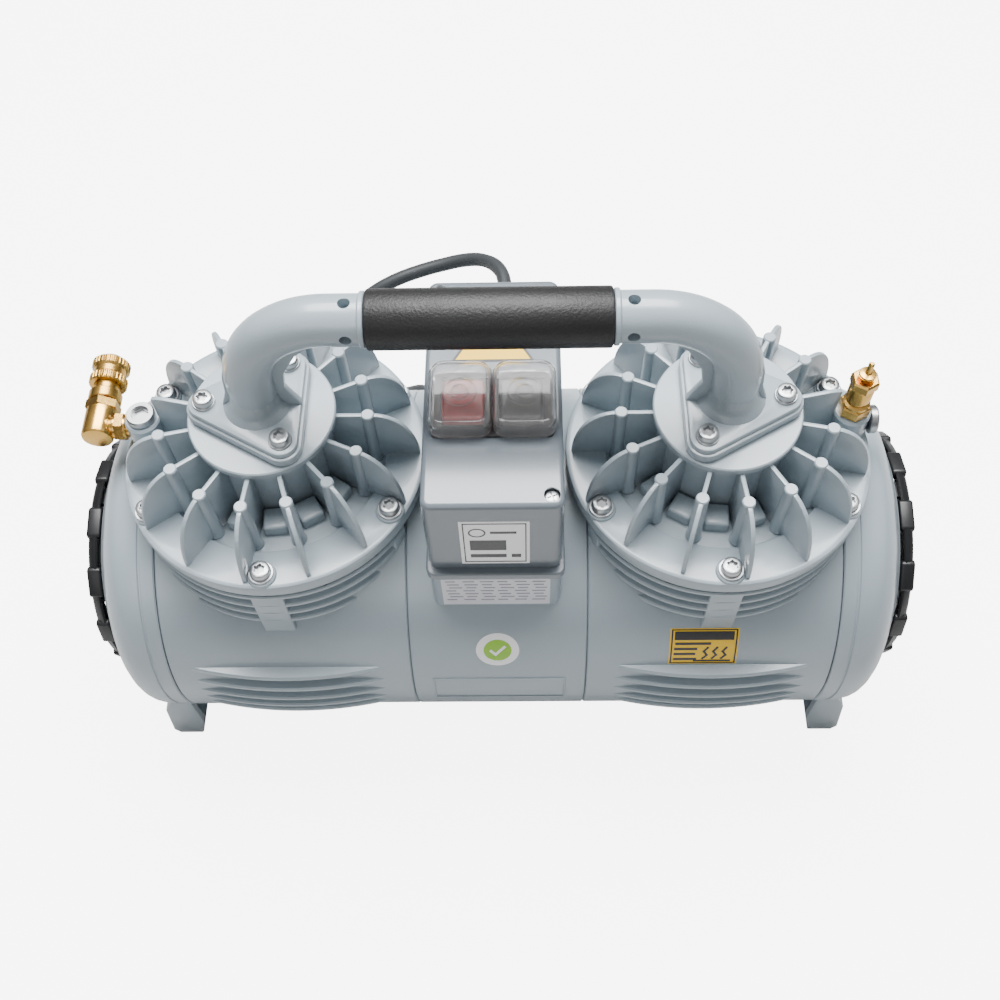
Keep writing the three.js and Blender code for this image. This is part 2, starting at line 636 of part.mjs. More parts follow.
// ---- Power cord -----------------------------------------------------------------------------
const GLAND_END = BOX_HALF_Y + GAP + 40;
const CORD_ROUTE = [
  [GLAND_X, GLAND_END + GAP, GLAND_Z], [6, 125, 274], [3.8, 138.2, 272.8], [-2.4, 150, 269],
  [-12.1, 159.4, 263], [-24.4, 164.6, 256.5], [-38, 166, 251], [-54, 164.6, 246.5], [-71, 161, 242],
  [-87, 156.3, 235.5], [-101, 151.5, 225.5], [-112, 147.3, 211], [-120.5, 144, 192], [-126.5, 141.5, 169],
  [-131, 139.8, 146], [-134.2, 138.5, 125], [-136, 138, 105], [-137.4, 137.6, 87], [-140.6, 137.5, 75.6],
  [-146.4, 137.5, 66.1], [-154, 137.6, 58.9],
];

function powerCord() {
  const points = CORD_ROUTE.map((p) => new THREE.Vector3(...p));
  return sweep(new THREE.CatmullRomCurve3(points), CORD_R, 36, 8);
}

// The lead comes in at the top of the coil, turns down it and leaves at the bottom to the plug.
function cordCoil() {
  const low = 0.3;
  const inner = COIL_R - 5;
  const outer = COIL_R + 5;
  const points = [[inner, low + 2], [inner + 2, low], [outer - 2, low], [outer, low + 2], [outer, COIL_H], [inner, COIL_H]];
  return turnedProfile('z', points, COIL_X, COIL_Y, 24);
}

const EXIT_ANGLE = 60;
const PLUG_AHEAD = 34.6;
const NOSE_Z = 9.5;
const NOSE_TILT = 15.6;
const PLUG_R = 17.5;

// Moulded round mains plug on the floor beside the coil, in line with the lead's last stretch.
function powerPlug() {
  const z = PLUG_R + 0.4;
  const tilt = new THREE.Matrix4().makeTranslation(0, 0, NOSE_Z);
  tilt.multiply(new THREE.Matrix4().makeRotationY(-rad(NOSE_TILT)));
  const solids = [
    moved(bar('x', 5, 0, 32, 0, 0, 12, 6), tilt),
    bar('x', 8, 26, 42, 0, z, 18, PLUG_R),
    bar('x', PLUG_R, 42, 58, 0, z, 18),
  ];
  for (const offset of [-9.5, 9.5]) solids.push(bar('x', 2.4, 57, 77, offset, z, 8));
  const x = COIL_X + COIL_R * Math.cos(rad(EXIT_ANGLE)) + PLUG_AHEAD * Math.sin(rad(EXIT_ANGLE));
  const y = COIL_Y + COIL_R * Math.sin(rad(EXIT_ANGLE)) - PLUG_AHEAD * Math.cos(rad(EXIT_ANGLE));
  return turned(union(solids), EXIT_ANGLE - 90, x, y);
}

// ---- Assembly -------------------------------------------------------------------------------
add('motor_housing', motorHousing(), castPaint);
add('stator_core', ring('x', STATOR_R, 55.3, -STATOR_HALF, STATOR_HALF, 0, AXIS_Z, BARREL_SEGMENTS), darkSteel);
add('rotor_core', ring('x', 54.5, SHAFT_R + GAP, -36, 36, 0, AXIS_Z, 24), darkSteel);
add('motor_shaft', bar('x', SHAFT_R, -256, 256, 0, AXIS_Z, 12), steel);

for (const side of [-1, 1]) {
  const tag = side < 0 ? 'left' : 'right';
  const pinRise = -side * THROW;
  const bearing = ring('x', 20, SHAFT_R + GAP, 62 + GAP, 75, 0, AXIS_Z, 20);
  const rodBearing = ring('x', ROD_BEARING_R, ECC_R + GAP, HEAD_X - 7, HEAD_X + 7, 0, AXIS_Z + pinRise, 20);
  add(`${tag}_stator_winding`, sided(winding(), side), copper);
  add(`${tag}_main_bearing`, sided(bearing, side), steel);
  add(`${tag}_crankcase`, sided(crankcase(), side), castPaint);
  add(`${tag}_end_cap`, sided(endCap(), side), castPaint);
  add(`${tag}_fan_guard`, sided(fanGuard(), side), blackPlastic);
  add(`${tag}_fan`, sided(fan(), side), blackPlastic);
  add(`${tag}_eccentric`, sided(eccentric(pinRise), side), darkSteel);
  add(`${tag}_rod_bearing`, sided(rodBearing, side), steel);
  add(`${tag}_connecting_rod`, sided(connectingRod(pinRise), side), darkSteel);
  add(`${tag}_diaphragm`, sided(diaphragm(pinRise), side), rubber);
  add(`${tag}_diaphragm_clamp`, sided(diaphragmClamp(pinRise), side), steel);
  add(`${tag}_valve_plate`, sided(valvePlate(), side), castPaint);
  add(`${tag}_cylinder_head`, sided(cylinderHead(), side), castPaint);
  add(`${tag}_handle_elbow`, sided(handleElbow(), side), castPaint);
  [0, 120, 240].forEach((angle, i) => {
    const x = HEAD_X + FLANGE_BOLT_RING * Math.cos(rad(angle));
    const y = FLANGE_BOLT_RING * Math.sin(rad(angle));
    const bolt = moved(flangeBolt(), new THREE.Matrix4().makeTranslation(x, y, 0));
    add(`${tag}_flange_bolt_${i + 1}`, sided(bolt, side), steel);
  });
}

add('handle_grip', gripSleeve(), rubber);
add('handle_core_tube', ring('x', TUBE_BORE_R - GAP, 7.5, -71, 71, 0, GRIP_Z, 12), darkSteel);

const leftPlug = new THREE.Matrix4().makeTranslation(-portX, portY, PORT_TOP + GAP);
const sidePlug = new THREE.Matrix4().makeTranslation(portX + PORT_BOSS_R + GAP, portY, PORT_AXIS_Z);
sidePlug.multiply(new THREE.Matrix4().makeRotationY(Math.PI / 2));
add('left_port_plug', moved(hexPlug(), leftPlug), steel);
add('right_port_plug', moved(hexPlug(), sidePlug), steel);
add('outlet_elbow', outletElbow(), brass);
add('coupling_body', couplingBody(), brass);
add('coupling_sleeve', couplingSleeve(), brass);
add('relief_valve_body', reliefBody(), brass);
add('relief_valve_stem', reliefStem(), steel);

add('terminal_box_base', boxBase(), boxPlastic);
add('terminal_box_lid', boxLid(), boxPlastic);
lidScrews.forEach(([x, y], i) => add(`lid_screw_${i + 1}`, lidScrew(x, y), steel));
add('run_capacitor', capacitor(), canWhite);
add('switch_body', switchBody(), blackPlastic);
add('stop_button', button(-1), redPlastic);
add('start_button', button(1), blackPlastic);
add('switch_cover', switchCover(), clearPlastic);
add('cable_gland', cableGland(), blackPlastic);
add('power_cord', powerCord(), rubber);
add('power_cord_coil', cordCoil(), rubber);
add('power_plug', powerPlug(), rubber);

export default compressor;
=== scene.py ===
import math
import bpy
from mathutils import Matrix, Vector


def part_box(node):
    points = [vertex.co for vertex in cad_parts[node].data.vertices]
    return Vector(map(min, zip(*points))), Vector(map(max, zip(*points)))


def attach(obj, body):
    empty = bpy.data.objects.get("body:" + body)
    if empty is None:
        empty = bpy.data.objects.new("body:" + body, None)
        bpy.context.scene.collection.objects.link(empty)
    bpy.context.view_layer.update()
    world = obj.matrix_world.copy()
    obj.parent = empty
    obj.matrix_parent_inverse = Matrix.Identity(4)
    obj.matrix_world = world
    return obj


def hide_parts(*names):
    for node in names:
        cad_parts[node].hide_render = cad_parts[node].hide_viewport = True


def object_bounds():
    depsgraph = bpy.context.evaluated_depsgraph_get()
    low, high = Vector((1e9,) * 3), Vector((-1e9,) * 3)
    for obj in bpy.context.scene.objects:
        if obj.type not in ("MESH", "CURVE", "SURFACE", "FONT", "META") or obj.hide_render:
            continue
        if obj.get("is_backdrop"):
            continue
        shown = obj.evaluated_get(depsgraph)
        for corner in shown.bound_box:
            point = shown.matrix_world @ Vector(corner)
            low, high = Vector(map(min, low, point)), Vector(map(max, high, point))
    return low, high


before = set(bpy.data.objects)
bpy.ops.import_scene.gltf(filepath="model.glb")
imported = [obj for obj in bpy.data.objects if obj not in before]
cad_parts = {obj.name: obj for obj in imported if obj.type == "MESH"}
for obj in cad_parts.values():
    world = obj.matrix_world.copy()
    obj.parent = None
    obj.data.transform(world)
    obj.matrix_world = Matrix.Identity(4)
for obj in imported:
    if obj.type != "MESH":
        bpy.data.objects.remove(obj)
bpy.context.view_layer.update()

# ---- Camera ---------------------------------------------------------------------------------
# A compressor on the floor is looked down on from the front, by someone standing close to it.
# The barrel then lies almost level and the finned heads show their whole top faces.
camera_data = bpy.data.cameras.new("camera")
camera_data.lens = 42.14
camera_data.sensor_width = 36
camera = bpy.data.objects.new("camera", camera_data)
bpy.context.collection.objects.link(camera)
camera_tilt = Matrix.Rotation(math.radians(29.89), 4, "X")
camera_turn = Matrix.Rotation(math.radians(2.38), 4, "Z")
camera_roll = Matrix.Rotation(math.radians(-2.59), 4, "Z")
camera_place = Matrix.Translation((0.0176, -0.3938, 0.8885))
camera.matrix_world = camera_place @ camera_turn @ camera_tilt @ camera_roll
bpy.context.scene.camera = camera

# ---- Power cord, its coil, gland and plug -----------------------------------------------------
# Rubber mains lead, 9.5 mm thick, that leaves the back of the switch box through a tapered
# gland, drops to the floor behind the left head and is wound into one tied coil.
MM = 0.001


def deselect():
    if bpy.context.object and bpy.context.object.mode != "OBJECT":
        bpy.ops.object.mode_set(mode="OBJECT")
    bpy.ops.object.select_all(action="DESELECT")


def pick(piece):
    deselect()
    piece.select_set(True)
    bpy.context.view_layer.objects.active = piece


def open_mesh():
    """Goes into the picked piece's mesh with everything selected."""
    bpy.ops.object.mode_set(mode="EDIT")
    bpy.ops.mesh.select_all(action="SELECT")


def close_mesh():
    """Turns all faces outward and comes back out of the mesh."""
    bpy.ops.mesh.select_all(action="SELECT")
    bpy.ops.mesh.normals_make_consistent(inside=False)
    bpy.ops.object.mode_set(mode="OBJECT")


def settle(piece, name, angle=32):
    """Names a finished piece and puts its place and turn into its mesh."""
    pick(piece)
    bpy.ops.object.transform_apply(location=True, rotation=True, scale=True)
    piece.name = name
    piece.data.name = name
    bpy.ops.object.shade_smooth_by_angle(angle=math.radians(angle))
    return piece


AXIS_TURN = {"x": (0, math.pi / 2, 0), "y": (-math.pi / 2, 0, 0), "z": (0, 0, 0)}


def turned(name, axis, centre, outline, steps=96, closed=False, angle=32):
    """Steps a circle through an outline of (radius, place along the axis), in millimetres."""
    deselect()
    radius, place = outline[0]
    bpy.ops.mesh.primitive_circle_add(vertices=steps, radius=radius * MM, location=(0, 0, place * MM))
    piece = bpy.context.object
    bpy.ops.object.transform_apply(location=True)
    open_mesh()
    for next_radius, next_place in outline[1:] + ([outline[0]] if closed else []):
        bpy.ops.mesh.extrude_edges_move(TRANSFORM_OT_translate={"value": (0, 0, (next_place - place) * MM)})
        grow = next_radius / radius
        bpy.ops.transform.resize(value=(grow, grow, 1), center_override=(0, 0, next_place * MM))
        radius, place = next_radius, next_place
    bpy.ops.mesh.select_all(action="SELECT")
    bpy.ops.mesh.remove_doubles(threshold=1e-6)
    if not closed:
        bpy.ops.mesh.fill_holes(sides=0)
    close_mesh()
    piece.rotation_euler = AXIS_TURN[axis]
    piece.location = Vector(centre) * MM
    return settle(piece, name, angle)


def joined(name, pieces, angle=32):
    deselect()
    for piece in pieces:
        piece.select_set(True)
    bpy.context.view_layer.objects.active = pieces[0]
    bpy.ops.object.join()
    return settle(pieces[0], name, angle)


def value_group(name, inputs, outputs):
    tree = bpy.data.node_groups.new(name, "ShaderNodeTree")
    for label, kind, value in inputs:
        tree.interface.new_socket(label, in_out="INPUT", socket_type=kind).default_value = value
    for label, kind in outputs:
        tree.interface.new_socket(label, in_out="OUTPUT", socket_type=kind)
    return tree


def add_node(tree, kind, **values):
    node = tree.nodes.new(kind)
    for key, value in values.items():
        if hasattr(node, key):
            setattr(node, key, value)
        else:
            node.inputs[key.replace("_", " ")].default_value = value
    return node


def wire(tree, *pairs):
    for source, target in pairs:
        tree.links.new(source, target)


# Uneven surface: slow patches shift the colour and gloss, fine grain lifts the surface.
surface = value_group("surface", [
    ("Colour", "NodeSocketColor", (0.5, 0.5, 0.5, 1)), ("Tone", "NodeSocketFloat", 0.06),
    ("Patch", "NodeSocketFloat", 25), ("Gloss", "NodeSocketFloat", 0.4),
    ("Gloss Shift", "NodeSocketFloat", 0.1), ("Grain", "NodeSocketFloat", 900)],
    [("Colour", "NodeSocketColor"), ("Roughness", "NodeSocketFloat"), ("Height", "NodeSocketFloat")])
into = surface.nodes.new("NodeGroupInput")
out = surface.nodes.new("NodeGroupOutput")
place_on = surface.nodes.new("ShaderNodeTexCoord")
patches = add_node(surface, "ShaderNodeTexNoise", Detail=5, Roughness=0.6)
grains = add_node(surface, "ShaderNodeTexNoise", Detail=3, Roughness=0.55)
centred = add_node(surface, "ShaderNodeMath", operation="SUBTRACT")
centred.inputs[1].default_value = 0.5
swing = add_node(surface, "ShaderNodeMath", operation="MULTIPLY_ADD")
swing.inputs[2].default_value = 1.0
tinted = add_node(surface, "ShaderNodeVectorMath", operation="SCALE")
dulled = add_node(surface, "ShaderNodeMath", operation="MULTIPLY_ADD")
wire(surface,
     (place_on.outputs["Object"], patches.inputs["Vector"]),
     (place_on.outputs["Object"], grains.inputs["Vector"]), (into.outputs["Patch"], patches.inputs["Scale"]),
     (into.outputs["Grain"], grains.inputs["Scale"]), (patches.outputs["Fac"], centred.inputs[0]),
     (centred.outputs[0], swing.inputs[0]), (into.outputs["Tone"], swing.inputs[1]),
     (into.outputs["Colour"], tinted.inputs[0]), (swing.outputs[0], tinted.inputs["Scale"]),
     (centred.outputs[0], dulled.inputs[0]), (into.outputs["Gloss Shift"], dulled.inputs[1]),
     (into.outputs["Gloss"], dulled.inputs[2]),
     (tinted.outputs[0], out.inputs["Colour"]), (dulled.outputs[0], out.inputs["Roughness"]),
     (grains.outputs["Fac"], out.inputs["Height"]))


def finish(name, colour, gloss, metallic=0.0, tone=0.1, patch=25, gloss_shift=0.15, grain=900, relief=0.05,
           coat=0.0, sheen=0.0):
    """Principled material over the surface group; relief is the grain's depth in millimetres."""
    material = bpy.data.materials.new(name)
    material.use_nodes = True
    tree = material.node_tree
    shader = tree.nodes["Principled BSDF"]
    uneven = tree.nodes.new("ShaderNodeGroup")
    uneven.node_tree = surface
    for key, value in (("Colour", (*colour, 1)), ("Tone", tone), ("Patch", patch), ("Gloss", gloss),
                       ("Gloss Shift", gloss_shift), ("Grain", grain)):
        uneven.inputs[key].default_value = value
    bump = add_node(tree, "ShaderNodeBump", Strength=1.0, Distance=relief * MM)
    wire(tree, (uneven.outputs["Colour"], shader.inputs["Base Color"]),
         (uneven.outputs["Roughness"], shader.inputs["Roughness"]),
         (uneven.outputs["Height"], bump.inputs["Height"]), (bump.outputs["Normal"], shader.inputs["Normal"]))
    for key, value in (("Metallic", metallic), ("Coat Weight", coat), ("Coat Roughness", 0.16),
                       ("Sheen Weight", sheen)):
        shader.inputs[key].default_value = value
    material.diffuse_color = (*colour, 1)
    return material


def dress(piece, material, body, slot, *nodes):
    piece.data.materials.clear()
    piece.data.materials.append(material)
    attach(piece, body)
    if nodes:
        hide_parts(*nodes)
    return piece


cord_rubber = finish("cord_rubber", (0.022, 0.026, 0.029), 0.5, tone=0.3, patch=60, grain=1600, relief=0.03,
                     sheen=0.1)
CORD_R = 4.75
COIL_R = 57
COIL_START = -100
COIL_SWEEP = 1640
TOP_TURN = 49.6
FLOOR_TURN = 5.1
cord_route = [
    (6, 120.6, 274), (6, 125, 274), (3.8, 138.2, 272.8), (-2.4, 150, 269), (-12.1, 159.4, 263),
    (-24.4, 164.6, 256.5), (-38, 166, 251), (-54, 164.6, 246.5), (-71, 161, 242), (-87, 156.3, 235.5),
    (-101, 151.5, 225.5), (-112, 147.3, 211), (-120.5, 144, 192), (-126.5, 141.5, 169), (-131, 139.8, 146),
    (-134.2, 138.5, 125), (-136, 138, 105), (-137.4, 137.6, 87), (-140.6, 137.5, 75.6), (-146.4, 137.5, 66.1),
    (-154, 137.6, 58.9), (-163.2, 138.5, 53.8), (-173.8, 140.2, 50.8)]
coil_low, coil_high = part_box("power_cord_coil")
coil_centre = (Vector(coil_low) + Vector(coil_high)) / 2 / MM

# The lead goes down the coil, one diameter a turn, and runs off it along the floor to the plug.
coil_steps = 110
for step in range(coil_steps + 1):
    share = step / coil_steps
    angle = math.radians(COIL_START - COIL_SWEEP * share)
    cord_route.append((coil_centre.x + COIL_R * math.cos(angle), coil_centre.y + COIL_R * math.sin(angle),
                       TOP_TURN + (FLOOR_TURN - TOP_TURN) * share))
run_out = Vector((math.sin(angle), -math.cos(angle), 0))
coil_end = Vector(cord_route[-1])
for ahead, height in ((12, 5.4), (24, 6.9), (36, 9.9)):
    place = coil_end + run_out * ahead
    cord_route.append((place.x, place.y, height))


def smooth_line(points, steps=6):
    """Points on one smooth curve through the given ones."""
    line = []
    for i in range(len(points) - 1):
        near = [min(max(i + k, 0), len(points) - 1) for k in (-1, 0, 1, 2)]
        before, start, end, after = (Vector(points[k]) for k in near)
        for j in range(steps):
            t = j / steps
            line.append(0.5 * (2 * start + (end - before) * t
                               + (2 * before - 5 * start + 4 * end - after) * t ** 2
                               + (3 * start - before - 3 * end + after) * t ** 3))
    return line + [Vector(points[-1])]


def line_curve(name, points, radius, rounding=3):
    data = bpy.data.curves.new(name, "CURVE")
    data.dimensions = "3D"
    data.bevel_depth = radius * MM
    data.bevel_resolution = rounding
    data.use_fill_caps = True
    spline = data.splines.new("POLY")
    spline.points.add(len(points) - 1)
    for point, place in zip(spline.points, points):
        point.co = (*(Vector(place) * MM), 1)
    piece = bpy.data.objects.new(name, data)
    bpy.context.collection.objects.link(piece)
    return piece


def tube(name, points, radius, rounding):
    """Round bar along a line of points, as a mesh, in millimetres."""
    piece = line_curve(name, points, radius, rounding)
    pick(piece)
    bpy.ops.object.convert(target="MESH")
    piece = bpy.context.object
    open_mesh()
    bpy.ops.mesh.remove_doubles(threshold=1e-6)
    close_mesh()
    return settle(piece, name, 40)


cord = line_curve("mains_cord", smooth_line(cord_route), CORD_R)
dress(cord, cord_rubber, "frame", "cord_rubber", "power_cord", "power_cord_coil")

# Black gland: a nut against the box wall and a tapered sleeve with bending grooves.
black_plastic = finish("black_plastic", (0.008, 0.0085, 0.0095), 0.38, tone=0.25, patch=40, grain=1300,
                       relief=0.04)
GLAND_X = 6
GLAND_Z = 274
GLAND_Y = 80.3
gland_nut = turned("gland_nut", "y", (GLAND_X, GLAND_Y, GLAND_Z), [
    (9.6, 0), (10.8, 0.6), (10.8, 4.6), (9.6, 5.2)], steps=6, angle=20)
gland_outline = [(8, -8), (8, 5), (9.2, 5), (9.6, 6), (9.6, 13), (8.4, 14.2)]
for ring in range(5):
    low = 15 + 5 * ring
    wide = 8.2 - 0.45 * ring
    gland_outline += [(wide - 1, low), (wide - 1, low + 1.2), (wide, low + 1.6), (wide - 0.3, low + 4.2)]
gland_outline += [(5.6, 40)]
gland_sleeve = turned("gland_sleeve", "y", (GLAND_X, GLAND_Y, GLAND_Z), gland_outline, steps=48)
dress(joined("cord_gland", [gland_nut, gland_sleeve]), black_plastic, "frame", "black_plastic", "cable_gland")

# Moulded round plug with a grooved nose, beside the coil, and its two steel pins.
steel = finish("bright_steel", (0.44, 0.45, 0.46), 0.32, metallic=1.0, tone=0.15, patch=120, grain=2500,
               relief=0.01)
PLUG_AHEAD = 34.6
PLUG_Z = 17.9
NOSE_Z = 9.5
NOSE_TILT = 15.6
nose = turned("plug_nose", "x", (0, 0, 0), [
    (5, 0), (5.8, 0.6), (5.8, 5), (5.2, 5.6), (5.2, 7), (6.1, 7.6), (6.1, 12), (5.4, 12.6), (5.4, 14),
    (6.3, 14.6), (6.3, 19), (5.7, 19.6), (5.7, 21), (6.6, 21.6), (7.2, 32)], steps=40)
nose.rotation_euler = (0, math.radians(-NOSE_TILT), 0)
nose.location = (0, 0, NOSE_Z * MM)
settle(nose, "plug_nose")
plug_body = turned("plug_body", "x", (0, 0, PLUG_Z), [
    (7.5, 26), (9, 29), (12.5, 34), (15.6, 38.5), (17.2, 42), (17.5, 44), (17.5, 50), (16.9, 50.4),
    (16.9, 51.6), (17.5, 52), (17.5, 56.6), (16.6, 57.8), (15.4, 58)], steps=64)
plug = joined("mains_plug", [nose, plug_body])
plug_pins = joined("mains_plug_pins", [
    turned("plug_pin", "x", (0, offset, PLUG_Z), [(2.4, 57), (2.4, 75.4), (1.9, 76.6), (1.1, 77)], steps=20)
    for offset in (-9.5, 9.5)])
plug_place = coil_end + run_out * PLUG_AHEAD
for piece in (plug, plug_pins):
    piece.rotation_euler = (0, 0, math.atan2(run_out.y, run_out.x))
    piece.location = (plug_place.x * MM, plug_place.y * MM, 0)
    settle(piece, piece.name)
dress(plug, cord_rubber, "frame", "cord_rubber", "power_plug")
dress(plug_pins, steel, "frame", "zinc_steel")

# Strap round the turns of the coil: a loop drawn out upwards to the height of the turns.
STRAP_R = 5.9
STRAP_WIDTH = 12
strap_angle = math.radians(205)
deselect()
bpy.ops.mesh.primitive_circle_add(vertices=32, radius=STRAP_R * MM, location=(0, 0, (STRAP_R + 0.3) * MM),
                                  rotation=(math.pi / 2, 0, 0))
strap = bpy.context.object
bpy.ops.object.transform_apply(location=True, rotation=True)
open_mesh()
bpy.ops.mesh.extrude_edges_move(TRANSFORM_OT_translate={"value": (0, STRAP_WIDTH * MM, 0)})
bpy.ops.object.mode_set(mode="OBJECT")
for vertex in strap.data.vertices:
    vertex.select = vertex.co.z > (STRAP_R + 0.4) * MM
bpy.ops.object.mode_set(mode="EDIT")
bpy.ops.transform.translate(value=(0, 0, (TOP_TURN - FLOOR_TURN - 0.6) * MM))
bpy.ops.object.mode_set(mode="OBJECT")
strap.modifiers.new("thickness", "SOLIDIFY").thickness = 0.6 * MM
bpy.ops.object.modifier_apply(modifier="thickness")
strap.rotation_euler = (0, 0, strap_angle)
strap.location = ((coil_centre.x + COIL_R * math.cos(strap_angle)) * MM,
                  (coil_centre.y + COIL_R * math.sin(strap_angle)) * MM, 0)
settle(strap, "coil_strap")
dress(strap, black_plastic, "frame", "black_plastic")

# ---- Motor housing ----------------------------------------------------------------------------
# Painted aluminium tube that holds the motor, cast with a low framed field for a plate on its
# front. It is clamped between the two crankcases.
cast_paint = finish("cast_paint", (0.31, 0.37, 0.41), 0.34, tone=0.14, patch=16, gloss_shift=0.16, grain=750,
                    relief=0.09, coat=0.55)
AXIS_Z = 138
BARREL_R = 112
HOUSING_HALF = 57


def drawn(name, outline, axis, low, high, bevel=0.0, segments=2):
    """Plate with the given outline, drawn across an axis and raised along it from low to high."""
    deselect()
    bpy.ops.mesh.primitive_circle_add(vertices=len(outline), radius=MM, fill_type="NGON")
    piece = bpy.context.object
    for vertex, (u, v) in zip(piece.data.vertices, outline):
        vertex.co = {"x": Vector((low, u, v)), "y": Vector((u, low, v)), "z": Vector((u, v, low))}[axis] * MM
    open_mesh()
    shift = Vector(((high - low) if axis == letter else 0 for letter in "xyz")) * MM
    bpy.ops.mesh.extrude_region_move(TRANSFORM_OT_translate={"value": shift})
    bpy.ops.mesh.select_all(action="SELECT")
    bpy.ops.mesh.normals_make_consistent(inside=False)
    if bevel:
        bpy.ops.mesh.bevel(offset=bevel * MM, segments=segments, affect="EDGES", clamp_overlap=True)
    bpy.ops.object.mode_set(mode="OBJECT")
    return settle(piece, name)


def clip(piece, point, normal):
    """Cuts a piece by a plane, drops what lies on the normal's side and closes the cut."""
    pick(piece)
    open_mesh()
    bpy.ops.mesh.bisect(plane_co=Vector(point) * MM, plane_no=normal, use_fill=True, clear_outer=True)
    close_mesh()
    return piece


def field_bar(x_low, x_high, drop, rise):
    """Raised bar on the front of the barrel, from one height over its axis to another."""
    r_in, r_out, edge = BARREL_R - 1, BARREL_R + 0.7, 0.4
    bar = turned("field_bar", "x", (0, 0, AXIS_Z), [
        (r_in, x_low), (r_out - edge, x_low), (r_out, x_low + edge), (r_out, x_high - edge),
        (r_out - edge, x_high), (r_in, x_high)], steps=360, closed=True)
    middle = (r_in + r_out) / 2
    for height, direction in ((drop, -1), (rise, 1)):
        lean = math.asin(height / middle)
        normal = Vector((0, math.sin(lean), math.cos(lean))) * direction
        clip(bar, (0, -middle * math.cos(lean), AXIS_Z + height), normal)
    return clip(bar, (0, 0, 0), (0, 1, 0))


housing_tube = turned("housing_tube", "x", (0, 0, AXIS_Z), [
    (BARREL_R - 8, -HOUSING_HALF), (BARREL_R - 1, -HOUSING_HALF), (BARREL_R, -HOUSING_HALF + 0.8),
    (BARREL_R, HOUSING_HALF - 0.8), (BARREL_R - 1, HOUSING_HALF), (BARREL_R - 8, HOUSING_HALF)], steps=180,
    closed=True)
frame_bars = [field_bar(*sides) for sides in (
    (-44, 44, 18.6, 20), (-44, 44, -10, -8.4), (-44, -42.6, -8.6, 18.8), (42.6, 44, -8.6, 18.8))]
dress(joined("motor_barrel", [housing_tube] + frame_bars), cast_paint, "frame", "cast_paint", "motor_housing")

# ---- Crankcases -------------------------------------------------------------------------------
# Painted castings at both ends of the motor: a length of the barrel with a round neck that
# carries the head, four thin cooling ribs on the neck and five on each side low down.
HEAD_X = 139
CASE_END = 217
DECK_Z = 250.2
NECK_R = 84.5
RIB_R = 94
RIB_CREST = 119.5
RIB_HALF = 67
CASE_BORE = 62.4
SPAN_LOW = HOUSING_HALF + 0.3
SPAN_HIGH = CASE_END - 0.3


def mirrored(piece, name):
    """The same piece for the left side."""
    pick(piece)
    bpy.ops.object.duplicate()
    copy = bpy.context.object
    open_mesh()
    bpy.ops.transform.resize(value=(-1, 1, 1), center_override=(0, 0, 0))
    bpy.ops.mesh.flip_normals()
    bpy.ops.object.mode_set(mode="OBJECT")
    copy.name = name
    copy.data.name = name
    return copy


def placed(piece, name, move, turn=0.0, axis="Z"):
    """A copy of a piece, turned about the origin in degrees and then moved, in millimetres."""
    pick(piece)
    bpy.ops.object.duplicate()
    copy = bpy.context.object
    copy.matrix_world = Matrix.Translation(Vector(move) * MM) @ Matrix.Rotation(math.radians(turn), 4, axis)
    return settle(copy, name)


def ring_of(piece, count, first, centre=(HEAD_X, 0, 0), axis="Z"):
    """Copies of a piece at even turns round a centre, in place of the piece itself."""
    copies = [placed(piece, piece.name, centre, first + 360 / count * k, axis) for k in range(count)]
    bpy.data.objects.remove(piece)
    return copies


def cut(piece, cutter):
    pick(piece)
    change = piece.modifiers.new("cut", "BOOLEAN")
    change.operation = "DIFFERENCE"
    change.solver = "EXACT"
    change.object = cutter
    bpy.ops.object.modifier_apply(modifier="cut")
    bpy.data.objects.remove(cutter)
    return piece


def both(piece, name, material, slot, nodes):
    """Dresses the right-hand piece and its left-hand copy."""
    left = mirrored(piece, f"left_{name}")
    piece.name = f"right_{name}"
    dress(piece, material, "frame", slot, *[f"right_{node}" for node in nodes])
    dress(left, material, "frame", slot, *[f"left_{node}" for node in nodes])


def soft_box(name, low, high, bevel=1.0):
    """Box from its low to its high corner, with rounded edges where a bevel is given."""
    deselect()
    low, high = Vector(low) * MM, Vector(high) * MM
    bpy.ops.mesh.primitive_cube_add(size=1, location=(low + high) / 2)
    piece = bpy.context.object
    piece.scale = high - low
    bpy.ops.object.transform_apply(location=True, rotation=True, scale=True)
    if bevel:
        open_mesh()
        bpy.ops.mesh.bevel(offset=bevel * MM, segments=3, affect="EDGES")
        bpy.ops.object.mode_set(mode="OBJECT")
    return settle(piece, name)


def neck():
    outline = [(62, AXIS_Z + 66), (NECK_R, AXIS_Z + 66)]
    for top in (218, 228.5, 239, DECK_Z):
        outline += [(NECK_R, top - 5.6), (NECK_R + 0.8, top - 4.6), (RIB_R - 1.2, top - 3.9),
                    (RIB_R, top - 3), (RIB_R, top - 0.9), (RIB_R - 0.8, top)]
        if top != DECK_Z:
            outline += [(NECK_R + 0.8, top + 1.2), (NECK_R, top + 2.2)]
    return turned("neck", "z", (HEAD_X, 0, 0), outline + [(62, DECK_Z)], steps=180, closed=True, angle=28)


